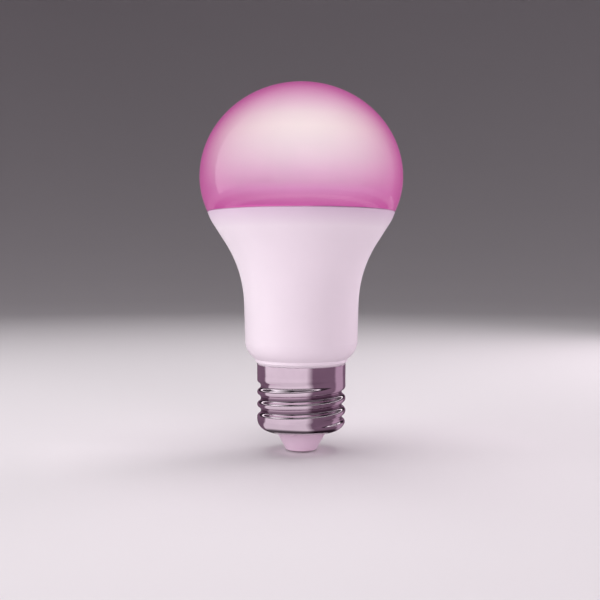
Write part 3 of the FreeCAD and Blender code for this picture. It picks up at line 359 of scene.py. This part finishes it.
def dome_lit_body():
    """Body of the dome's wall, with the skirt, its snap bead and the funnel down to the skirt's bore."""
    bead_z = SKIRT_FOOT_Z + BEAD_RISE
    inset = SKIN_WALL + SKIN_GAP
    outside = oval_side(inset, DOME_EDGE_Z + SKIN_GAP)
    bead = [(SKIRT_RADIUS, bead_z + SKIRT_BEAD), (SKIRT_RADIUS + SKIRT_BEAD, bead_z),
            (SKIRT_RADIUS, bead_z - SKIRT_BEAD)]
    foot = [(SKIRT_RADIUS, SKIRT_FOOT_Z), (SKIRT_BORE_RADIUS, SKIRT_FOOT_Z)]
    skirt = [(SKIRT_RADIUS, DOME_EDGE_Z)] + bead + foot + [(SKIRT_BORE_RADIUS, DOME_EDGE_Z)]
    inside = oval_side(DOME_WALL, DOME_EDGE_Z + FUNNEL_HEIGHT)
    bm = bmesh.new()
    turned(bm, outside + skirt + inside[::-1], DOME_SIDES)
    return object_from("dome_lit_body", bm, lit_body_material())


for piece in (dome_lit_body(), dome_clear_skin()):
    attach(piece, "root")
    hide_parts("diffuser_dome")


# ---------------------------------------------------------------- screw shell

def nickel_material():
    """Bright nickel plate with faint draw lines, dull patches and painted shade that darkens the thread's
    roots.
    """
    n = Nodes("nickel_plate")
    lines = n.noise(260.0, 3.0, 0.6, (0.12, 0.12, 7.0))
    patches = n.noise(110.0, 3.0, 0.55)
    plate = n.ramp(patches, [(0.3, (0.80, 0.70, 0.77)), (0.7, (0.88, 0.79, 0.85))])
    root = n.add("Attribute", {"attribute_name": "groove"}).outputs["Fac"]
    # painted shade: the plate darkens towards the bottom of each groove, where shade falls
    painted_groove_shade = n.spread(root, 0.0, 1.0, 0.78, 1.0)
    n.set(Base_Color=n.mix(painted_groove_shade, plate, (0.26, 0.18, 0.24)), Metallic=1.0,
          Roughness=n.spread(lines, 0.05, 0.11), Normal=n.bump(lines, 0.05, GRAIN_HEIGHT))
    return n.material


def smooth_step(t):
    t = max(0.0, min(1.0, t))
    return t * t * (3 - 2 * t)


def groove_depth(z, angle, inset):
    """Depth of the thread at a height and an angle; it grows from nothing and fades to nothing."""
    half_pitch = THREAD_PITCH / 2
    middle = CREST_Z + half_pitch + THREAD_PITCH * (angle + math.pi) / (2 * math.pi)
    middle += THREAD_PITCH * round((z - middle) / THREAD_PITCH)
    growing = smooth_step((middle - GROOVE_START_Z) / (GROOVE_FULL_Z - GROOVE_START_Z))
    fading = smooth_step((GROOVE_END_Z - middle) / (GROOVE_END_Z - GROOVE_FADE_Z))
    away = abs(z - middle)
    bottom = THREAD_ARC + inset
    crest = THREAD_ARC - inset
    if away < bottom * TANGENT_SINE:
        depth = GROOVE_DEPTH - bottom + math.sqrt(bottom ** 2 - away ** 2)
    else:
        depth = crest - math.sqrt(crest ** 2 - (half_pitch - away) ** 2)
    return growing * fading * depth


def shell_radius(z, inset):
    """Radius function of the shell's ring at a height, from its rounding up."""
    if z >= CURL_CENTRE_Z:
        plain = CREST_RADIUS - inset
    else:
        plain = CURL_CENTRE_RADIUS + math.sqrt((CURL_RADIUS - inset) ** 2 - (CURL_CENTRE_Z - z) ** 2)
    return lambda angle: plain - groove_depth(z, angle, inset)


def shell_rings(inset, rows_per_pitch, sides):
    """Rings from the rim's opening, round the rounding, up the thread and up the collar."""
    floor_z = SHELL_RIM_Z + inset
    rounding = CURL_RADIUS - inset
    rings = [ring_points(CURL_CENTRE_RADIUS - RIM_REACH, floor_z, sides)]
    for i in range(CURL_STEPS + 1):
        turn = CURL_END * i / CURL_STEPS
        z = CURL_CENTRE_Z - rounding * math.cos(turn)
        radius = CURL_CENTRE_RADIUS + rounding * math.sin(turn)
        last = i == CURL_STEPS
        rings.append(ring_points(shell_radius(z, inset) if last else radius, z, sides))
    rows = math.ceil((COLLAR_FOOT_Z - z) / THREAD_PITCH * rows_per_pitch)
    for i in range(1, rows + 1):
        here = z + (COLLAR_FOOT_Z - z) * i / rows
        rings.append(ring_points(shell_radius(here, inset), here, sides))
    collar = COLLAR_RADIUS - inset
    rings.append(ring_points(collar, COLLAR_FOOT_Z + COLLAR_LEAD, sides))
    rings.append(ring_points(collar, SHELL_TOP_Z, sides))
    return rings


def plated_screw_shell():
    """Thin drawn shell with its rolled thread, one closed wall."""
    bm = bmesh.new()
    outer = shell_rings(0.0, ROWS_PER_PITCH, SHELL_SIDES)
    inner = shell_rings(SHELL_WALL, ROWS_PER_PITCH // 2, SHELL_SIDES)
    tube_of_rings(bm, outer + inner[::-1])
    piece = object_from("plated_screw_shell", bm, nickel_material(), 50.0)
    mesh = piece.data
    for vertex, share in zip(mesh.vertices, mesh.attributes.new("groove", "FLOAT", "POINT").data):
        x, y, z = vertex.co / MM
        share.value = groove_depth(z, math.atan2(y, x), 0.0) / GROOVE_DEPTH
    return piece


shell = plated_screw_shell()
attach(shell, "root")
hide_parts("screw_shell")


# ---------------------------------------------------------------- materials of the CAD nodes

def dress(name, *materials, pick=None):
    """Gives a CAD node its materials; pick(face centre, face normal) chooses each face's."""
    mesh = nodes[name].data
    mesh.materials.clear()
    for material in materials:
        mesh.materials.append(material)
    for face in mesh.polygons:
        face.material_index = pick(face.center / MM, face.normal) if pick else 0


def moulded(name, colour, roughness=0.45, grain=1200.0, variation=0.04, relief=0.1, coat=0.0):
    """Moulded plastic: faintly mottled, with a fine eroded grain."""
    n = Nodes(name)
    fine = n.noise(grain, 3.0, 0.6)
    n.set(Base_Color=mottled(n, colour, variation, grain * 0.08),
          Roughness=n.spread(fine, roughness * 0.88, min(1.0, roughness * 1.12)),
          Normal=n.bump(fine, relief, GRAIN_HEIGHT), Coat_Weight=coat)
    return n.material


def metal(name, colour, roughness=0.3, grain=600.0, stretch=(1.0, 1.0, 1.0), variation=0.06, relief=0.1):
    """Plain or plated metal with fine lines or grain, and tarnished patches."""
    n = Nodes(name)
    fine = n.noise(grain, 4.0, 0.6, stretch)
    n.set(Base_Color=mottled(n, colour, variation, grain * 0.3), Metallic=1.0,
          Roughness=n.spread(fine, roughness * 0.75, roughness * 1.25),
          Normal=n.bump(fine, relief, GRAIN_HEIGHT))
    return n.material


RIM_PAINTED_GLOW_AND_SHADE = 0.68               # share of painted shade and painted rose glow at the rim
RIM_PAINTED_GLOW_DEPTH = 5.0          # mm below the rim where the painted shade and glow end


def housing_material():
    """Satin white moulded plastic, finely eroded, with painted shade and a painted rose glow from the dome
    darkening it just below the rim.
    """
    n = Nodes("satin_white_plastic")
    fine = n.noise(2600.0, 3.0, 0.6)
    rim_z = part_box("housing_shell")[1].z
    # painted shade and painted rose glow: darker and pinker towards the rim, under the dome's overhang
    rim_painted_glow_and_shade = n.spread(n.axis("Z"), 0.0, RIM_PAINTED_GLOW_AND_SHADE, rim_z - RIM_PAINTED_GLOW_DEPTH * MM, rim_z)
    white = mottled(n, linear(243, 231, 240), 0.015, 60.0)
    n.set(Base_Color=n.mix(rim_painted_glow_and_shade, white, (0.62, 0.42, 0.60)), Roughness=n.spread(fine, 0.40, 0.50),
          Normal=n.bump(fine, 0.12, GRAIN_HEIGHT), IOR=1.45)
    return n.material


def board_material(name, mask, copper, scale, upright=True):
    """Solder mask over copper: patches of long parallel tracks show as slightly raised, lighter lines."""
    n = Nodes(name)
    turn = math.radians(90) if upright else 0.0
    spot = n.add("Mapping", Vector=n.here(), Rotation=(turn, 0.0, 0.0)).outputs["Vector"]
    bricks = n.add("TexBrick", Vector=spot, Scale=scale, Mortar_Size=0.035, Mortar_Smooth=0.1,
                   Brick_Width=3.0, Row_Height=0.3,
                   Color1=(1.0, 1.0, 1.0), Color2=(0.0, 0.0, 0.0), Mortar=(0.5, 0.5, 0.5))
    patch = n.spread(n.noise(scale * 0.9, 1.0, 0.4), 0.0, 1.0, 0.49, 0.51)
    tracks = n.math("MULTIPLY", bricks.outputs["Fac"], patch)
    fine = n.noise(1800.0, 3.0, 0.6)
    n.set(Base_Color=n.mix(tracks, mottled(n, mask, 0.08, 200.0), copper),
          Roughness=n.spread(fine, 0.30, 0.42), Normal=n.bump(tracks, 0.4, 0.00004), Coat_Weight=0.3)
    return n.material


def wound_wire_material():
    """Enamelled copper wire: glossy lacquer, with a fine line between turns."""
    n = Nodes("enamelled_wire")
    wave = n.add("TexWave", {"bands_direction": "Z"}, Vector=n.here(), Scale=900.0, Distortion=0.6)
    lines = wave.outputs["Fac"]
    n.set(Base_Color=n.ramp(lines, [(0.0, (0.32, 0.10, 0.04)), (1.0, (0.72, 0.30, 0.12))]), Metallic=0.9,
          Roughness=n.spread(n.noise(900.0), 0.2, 0.35), Normal=n.bump(lines, 0.5, 0.00005), Coat_Weight=0.8)
    return n.material


def banded_resistor_material(length):
    """Green flameproof coat with plain coloured bands across it."""
    n = Nodes("resistor_coat")
    share = n.spread(n.axis("X"), 0.0, 1.0, -length / 2 * MM, length / 2 * MM)
    coat = (0.20, 0.42, 0.30)
    bands = [(0.0, coat), (0.2, (0.45, 0.05, 0.03)), (0.27, coat), (0.4, (0.02, 0.02, 0.02)), (0.47, coat),
             (0.6, (0.7, 0.5, 0.05)), (0.67, coat), (0.8, (0.5, 0.35, 0.1)), (0.87, coat)]
    fine = n.noise(2200.0, 3.0, 0.6)
    n.set(Base_Color=n.ramp(share, bands, "CONSTANT"), Roughness=n.spread(fine, 0.5, 0.65),
          Normal=n.bump(fine, 0.2, 0.00003))
    return n.material


def box_of(name):
    """A node's lowest and highest corners, in millimetres."""
    low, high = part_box(name)
    return low / MM, high / MM


FACING = 0.9                   # least share of a face's normal that counts as facing an axis
TOUCH = 0.1                    # mm; within this of a plane counts as on it
WELL_DEPTH = 0.01              # mm; faces below a package's top by this are its well
HALF_BOARD = 0.8               # mm; half the thickness of the driver board
LEG_THICKNESS = 0.3            # mm; a chip's legs, flat on the board
CAN_STAND_OFF = 1.5            # mm; a capacitor's leads show below its foot
FUSE_HALF = 3.0                # mm; half the length of the resistor's body
CHOKE_PIN_DEPTH = 0.9          # mm; the choke's pins reach this far below its top

tinned = metal("tinned_lead", (0.72, 0.72, 0.72), 0.3, 900.0)
gold = metal("gold_flash", (0.83, 0.62, 0.28), 0.22, 900.0)
black_plastic = moulded("black_plastic", (0.020, 0.020, 0.022), 0.5, 1500.0, 0.2)
ferrite = moulded("ferrite", (0.035, 0.033, 0.034), 0.6, 2400.0, 0.25, 0.4)
winding = wound_wire_material()


def dress_outside():
    dress("housing_shell", housing_material())
    dress("cap_insulator", moulded("pale_insulator", linear(240, 212, 232), 0.42, 900.0, 0.03))
    dress("centre_contact",
          metal("contact_plate", (0.78, 0.66, 0.73), 0.25, 300.0, variation=0.03, relief=0.03))


def dress_light_board():
    """Seal, heat sink, pad, light board, its screws and its three kinds of light-emitting packages."""
    dress("dome_seal", moulded("white_silicone", (0.80, 0.80, 0.77), 0.6, 500.0, 0.03, 0.3))
    dress("heat_sink_cup", metal("drawn_aluminium", (0.76, 0.77, 0.78), 0.35, 500.0, (0.2, 0.2, 5.0)))
    dress("thermal_pad", moulded("thermal_pad", (0.32, 0.37, 0.44), 0.75, 900.0, 0.12, 0.5))
    dress("led_board", board_material("white_board", (0.86, 0.86, 0.83), (0.78, 0.77, 0.73), 120.0, False))
    dress("led_board_screws", metal("zinc_plate", (0.66, 0.67, 0.66), 0.3, 800.0))
    frame_plastic = moulded("led_frame", (0.88, 0.88, 0.86), 0.35, 2000.0, 0.02)
    for name, colour in (("warm_white_leds", (0.90, 0.55, 0.10)), ("cool_white_leds", (0.86, 0.78, 0.20)),
                         ("rgb_leds", (0.70, 0.74, 0.80))):
        top_z = box_of(name)[1].z
        well = moulded(name + "_well", colour, 0.2, 3000.0, 0.1, 0.2, 0.6)
        dress(name, frame_plastic, well,
              pick=lambda c, d, t=top_z: 1 if c.z < t - WELL_DEPTH and d.z > FACING else 0)


def can_part(foot_z, top_z):
    """Chooses the sleeve, the bare end or a lead of a capacitor that stands on its foot."""
    def pick(centre, normal):
        if centre.z < foot_z - TOUCH:
            return 2
        return 1 if normal.z > FACING and centre.z > top_z - TOUCH else 0
    return pick


def dress_driver():
    """Sleeve, driver board and the leaded parts that stand on it."""
    dress("driver_sleeve", moulded("natural_nylon", (0.74, 0.73, 0.68), 0.5, 900.0, 0.05))
    dress("driver_board", board_material("green_board", (0.012, 0.10, 0.035), (0.035, 0.19, 0.06), 260.0))
    sleeve_cap = metal("can_end", (0.76, 0.76, 0.77), 0.3, 700.0)
    for name, colour in (("input_capacitor", (0.012, 0.016, 0.030)),
                         ("output_capacitor", (0.010, 0.020, 0.055))):
        low, high = box_of(name)
        can = moulded(name + "_sleeve", colour, 0.28, 900.0, 0.2, 0.1, 0.5)
        dress(name, can, sleeve_cap, tinned, pick=can_part(low.z + CAN_STAND_OFF, high.z))
    box_parts = (("film_capacitor", moulded("film_box", (0.50, 0.03, 0.02), 0.3, 900.0, 0.08, 0.1, 0.4)),
                 ("varistor", moulded("varistor_coat", (0.02, 0.09, 0.32), 0.25, 500.0, 0.12, 0.5, 0.6)))
    for name, material in box_parts:
        dress(name, material, tinned, pick=lambda c, d: 1 if c.y < HALF_BOARD else 0)
    dress("fuse_resistor", banded_resistor_material(2 * FUSE_HALF), tinned,
          pick=lambda c, d: 1 if c.y < HALF_BOARD or abs(c.x) > FUSE_HALF + TOUCH else 0)
    pins_z = box_of("inductor_core")[1].z - CHOKE_PIN_DEPTH
    dress("inductor_core", ferrite, tinned, pick=lambda c, d: 1 if c.y < HALF_BOARD or c.z > pins_z else 0)
    dress("inductor_winding", winding)
    dress("transformer_core", ferrite)
    dress("transformer_bobbin", black_plastic, tinned, pick=lambda c, d: 1 if c.y > -HALF_BOARD else 0)
    dress("transformer_winding", winding)
    dress("solder_joints", metal("solder", (0.74, 0.75, 0.77), 0.22, 1500.0, variation=0.1))


def dress_chips():
    """Moulded chips get tinned legs; small chips get tinned end caps."""
    leg_top = HALF_BOARD + LEG_THICKNESS
    for name in ("bridge_rectifier", "driver_chip", "dimming_transistors"):
        dress(name, black_plastic, tinned,
              pick=lambda c, d: 1 if abs(c.y) < leg_top and abs(d.y) > FACING else 0)
    dress("chip_resistors", moulded("thick_film", (0.012, 0.012, 0.013), 0.35, 3000.0, 0.2), tinned,
          pick=lambda c, d: 1 if abs(d.x) > FACING else 0)
    dress("chip_capacitors", moulded("layered_ceramic", (0.42, 0.28, 0.16), 0.4, 3000.0, 0.1), tinned,
          pick=lambda c, d: 1 if abs(d.x) > FACING else 0)


def dress_radio():
    """Radio module, connectors and wires."""
    dress("wifi_module_board", board_material("blue_board", (0.008, 0.030, 0.13), (0.02, 0.06, 0.20), 420.0))
    dress("wifi_shield", metal("tinned_sheet", (0.76, 0.76, 0.75), 0.28, 500.0, (4.0, 1.0, 0.3)))
    dress("antenna_trace", gold)
    dress("module_header", black_plastic)
    dress("module_header_pins", gold)
    dress("light_socket", black_plastic)
    dress("light_pins", gold)
    dress("live_wire", moulded("red_insulation", (0.42, 0.015, 0.010), 0.35, 1500.0, 0.1, 0.2, 0.3))
    dress("neutral_wire", metal("tinned_strand", (0.74, 0.73, 0.70), 0.28, 900.0, (1.0, 1.0, 6.0)))


dress_outside()
dress_light_board()
dress_driver()
dress_chips()
dress_radio()


# ---------------------------------------------------------------- stage (metres)

AIM_HEIGHT = 0.055
REFLECTOR_DISTANCE = 0.35
SURROUND_RADIUS = 0.075
SURROUND_FOOT = 0.0003
RING_LIGHT_HEIGHTS = (0.040, 0.047)
RING_LIGHT = 1.3
RING_LIGHT_GAP = 0.001         # in front of the surround's wall
# Distance along the surround in metres, and how strongly its bands glow there; the dim band round the cap's
# foot is a painted shadow, seen only in the cap's mirror.
SURROUND_TONES = [
    (0.010, 0.10), (0.014, 0.10), (0.018, 0.85), (0.045, 0.85), (0.075, 0.95), (0.097, 1.0),
    (0.101, 0.15), (0.113, 0.05), (0.124, 0.2), (0.130, 0.17)]
PINK_FILL = (1.0, 0.90, 0.97)
BRIGHT = (0.82, 0.71, 0.79)
MIDDLE = (0.48, 0.33, 0.44)
DARK = (0.19, 0.115, 0.17)
# Azimuth in the surround's own gradient, in degrees; the camera stands at -90, and its right is towards 0.
SURROUND_BANDS = [(azimuth, colour) for azimuth, colour in (
    (-180, BRIGHT), (-78, BRIGHT), (-62, DARK), (-2, DARK), (6, MIDDLE), (36, MIDDLE), (42, DARK), (76, DARK),
    (80, BRIGHT), (98, BRIGHT), (102, DARK), (168, DARK), (174, BRIGHT))]
FLOOR_FLAT = 0.3               # radius of the plain disc at the floor's middle
CURVE_STEPS = 9                # steps of the floor's curve up into the wall
SHADE_START = 0.25             # distance at which the painted shade starts to darken the paper
SHADE_REACH = 1.1              # in floor radii, where the painted shade is full
CARD_ACROSS = 24
CARD_UP = 16


def paper_material():
    """Pale seamless paper with painted shade that darkens it towards the wall, and a faint tooth."""
    n = Nodes("studio_paper")
    away = n.add("VectorMath", {"operation": "LENGTH"}, Vector=n.here()).outputs["Value"]
    # painted shade: the paper darkens with distance from the middle, as if the light fell off
    shade = n.spread(away, 0.0, 1.0, SHADE_START, FLOOR_RADIUS * SHADE_REACH)
    fine = n.noise(900.0, 2.0, 0.5)
    n.set(Base_Color=n.ramp(shade, [(0.0, (0.74, 0.71, 0.73)), (1.0, (0.42, 0.40, 0.42))], "EASE"),
          Roughness=n.spread(fine, 0.7, 0.8), Specular_IOR_Level=0.2)
    return n.material


def studio_floor():
    """Round floor that curves up into a wall all round."""
    profile = [(0.0, 0.0), (FLOOR_FLAT, 0.0), (FLOOR_RADIUS - FLOOR_CURVE, 0.0)]
    for step in range(1, CURVE_STEPS + 1):
        angle = math.radians(90 * step / CURVE_STEPS)
        profile.append((FLOOR_RADIUS - FLOOR_CURVE + FLOOR_CURVE * math.sin(angle),
                        FLOOR_CURVE - FLOOR_CURVE * math.cos(angle)))
    profile.append((FLOOR_RADIUS, WALL_HEIGHT))
    bm = bmesh.new()
    turned(bm, [(r / MM, z / MM) for r, z in profile], FLOOR_SIDES)
    object_from("studio_floor", bm, paper_material())


def around(azimuth_deg, distance, height=0.0):
    """Place at an azimuth from the camera's direction, positive to the camera's right."""
    angle = math.radians(azimuth_deg)
    return Vector((distance * math.sin(angle), -distance * math.cos(angle), height))


def softbox(name, azimuth, distance, height, width, tall, power, colour=(1.0, 1.0, 1.0)):
    data = bpy.data.lights.new(name, "AREA")
    data.shape = "RECTANGLE"
    data.size, data.size_y = width, tall
    data.energy = power
    data.color = colour
    light = bpy.data.objects.new(name, data)
    light.location = around(azimuth, distance, height)
    aim = Vector((0.0, 0.0, AIM_HEIGHT)) - light.location
    light.rotation_euler = aim.to_track_quat("-Z", "Y").to_euler()
    light.visible_camera = False
    light.visible_glossy = False
    bpy.context.scene.collection.objects.link(light)


def only_in_mirrors(piece):
    """A card that lights nothing and that only glossy surfaces see."""
    piece.visible_camera = False
    piece.visible_diffuse = False
    piece.visible_shadow = False
    piece.visible_transmission = False


def glow_material(name, colour, strength):
    """Even glow of one colour, as strong at each point as the mesh's attribute says."""
    n = Nodes(name)
    share = n.add("Attribute", {"attribute_name": "glow"}).outputs["Fac"]
    n.set(Base_Color=(0.0, 0.0, 0.0), Roughness=1.0, Specular_IOR_Level=0.0, Emission_Strength=strength,
          Emission_Color=n.mix(share, (0.0, 0.0, 0.0), mottled(n, colour, 0.03, 8.0)))
    return n.material


def graded_reflector(name, crisp_deg, faded_deg, low_deg, high_deg, colour, strength):
    """Part of a sphere round the dome: bright along one upright edge, fading to nothing across it."""
    bm = bmesh.new()
    rows, shares = [], []
    for j in range(CARD_UP + 1):
        tilt = math.radians(low_deg + (high_deg - low_deg) * j / CARD_UP)
        row = []
        for i in range(CARD_ACROSS + 1):
            azimuth = crisp_deg + (faded_deg - crisp_deg) * i / CARD_ACROSS
            out = around(azimuth, REFLECTOR_DISTANCE * math.cos(tilt))
            out.z = DOME_WIDEST_Z * MM + REFLECTOR_DISTANCE * math.sin(tilt)
            row.append(bm.verts.new(out))
            shares.append((1 - smooth_step(i / CARD_ACROSS)) * (1 - smooth_step(j / CARD_UP)))
        rows.append(row)
    for low, high in zip(rows, rows[1:]):
        for i in range(CARD_ACROSS):
            bm.faces.new((low[i], low[i + 1], high[i + 1], high[i]))
    piece = object_from(name, bm, glow_material(name, colour, strength))
    for share, value in zip(shares, piece.data.attributes.new("glow", "FLOAT", "POINT").data):
        value.value = share
    only_in_mirrors(piece)


def surround_material():
    """Studio that the plated cap mirrors: light and dark upright bands, stronger or weaker by height."""
    n = Nodes("cap_surround")
    turn = n.add("TexGradient", {"gradient_type": "RADIAL"}, Vector=n.here()).outputs["Fac"]
    bands = n.ramp(turn, [((azimuth + 180) / 360, colour) for azimuth, colour in SURROUND_BANDS])
    tone = n.add("Attribute", {"attribute_name": "glow"}).outputs["Fac"]
    n.set(Base_Color=(0.0, 0.0, 0.0), Roughness=1.0, Specular_IOR_Level=0.0,
          Emission_Strength=1.0, Emission_Color=n.mix(tone, (0.0, 0.0, 0.0), bands))
    return n.material


def surround_place(along):
    """Radius and height at a distance along the surround: out over the floor, then up."""
    if along <= SURROUND_RADIUS:
        return along, SURROUND_FOOT
    return SURROUND_RADIUS, SURROUND_FOOT + along - SURROUND_RADIUS


def round_card(name, profile, material):
    """Open surface of revolution from (radius, height, glow) rings in metres, seen only in mirrors."""
    bm = bmesh.new()
    rows = [[bm.verts.new(around(360 * i / FLOOR_SIDES, radius, height)) for i in range(FLOOR_SIDES)]
            for radius, height, _ in profile]
    for low, high in zip(rows, rows[1:]):
        for i in range(FLOOR_SIDES):
            j = (i + 1) % FLOOR_SIDES
            bm.faces.new((low[i], low[j], high[j], high[i]))
    piece = object_from(name, bm, material)
    glows = [glow for _, _, glow in profile for _ in range(FLOOR_SIDES)]
    for glow, value in zip(glows, piece.data.attributes.new("glow", "FLOAT", "POINT").data):
        value.value = glow
    only_in_mirrors(piece)


def cap_surround():
    """Low round floor and wall about the cap, with a painted shadow round its foot."""
    profile = [(*surround_place(along), tone) for along, tone in SURROUND_TONES]
    round_card("cap_surround", profile, surround_material())


def cap_ring_light():
    """Thin bright ring that draws a white line along each turn of the thread."""
    radius = SURROUND_RADIUS - RING_LIGHT_GAP
    profile = [(radius, height, 1.0) for height in RING_LIGHT_HEIGHTS]
    round_card("cap_ring_light", profile, glow_material("cap_ring_light", (0.96, 0.88, 0.94), RING_LIGHT))


def studio_lights():
    softbox("left_softbox", -72.0, 0.48, 0.16, 0.62, 0.50, 2.1)
    softbox("right_softbox", 121.0, 0.45, 0.14, 0.30, 0.42, 1.35, PINK_FILL)
    softbox("front_softbox", 14.0, 0.75, 0.30, 0.50, 0.40, 2.2, PINK_FILL)
    softbox("top_softbox", 180.0, 0.1, 0.70, 0.60, 0.60, 3.2)


def mirror_cards():
    graded_reflector("left_reflector", -106.0, -30.0, -15.0, 75.0, (0.96, 0.92, 0.96), 2.9)
    graded_reflector("right_reflector", 121.0, 70.0, -15.0, 60.0, (0.96, 0.82, 0.96), 0.7)
    cap_surround()
    cap_ring_light()


def world():
    background = bpy.data.worlds.new("studio_world")
    bpy.context.scene.world = background
    background.use_nodes = True
    background.node_tree.nodes["Background"].inputs["Color"].default_value = (*PINK_FILL, 1.0)
    background.node_tree.nodes["Background"].inputs["Strength"].default_value = 0.2


def camera():
    data = bpy.data.cameras.new("camera")
    data.lens = CAMERA_LENS_MM
    data.sensor_width = SENSOR_WIDTH_MM
    data.shift_x = CAMERA_SHIFT_X
    data.shift_y = CAMERA_SHIFT_Y
    data.clip_start = 0.01
    eye = bpy.data.objects.new("camera", data)
    eye.location = (0.0, -CAMERA_DISTANCE, CAMERA_HEIGHT)
    eye.rotation_euler = (math.radians(90.0), 0.0, 0.0)
    bpy.context.scene.collection.objects.link(eye)
    bpy.context.scene.camera = eye


studio_floor()
studio_lights()
mirror_cards()
world()
camera()
bpy.context.scene.view_settings.view_transform = "Standard"
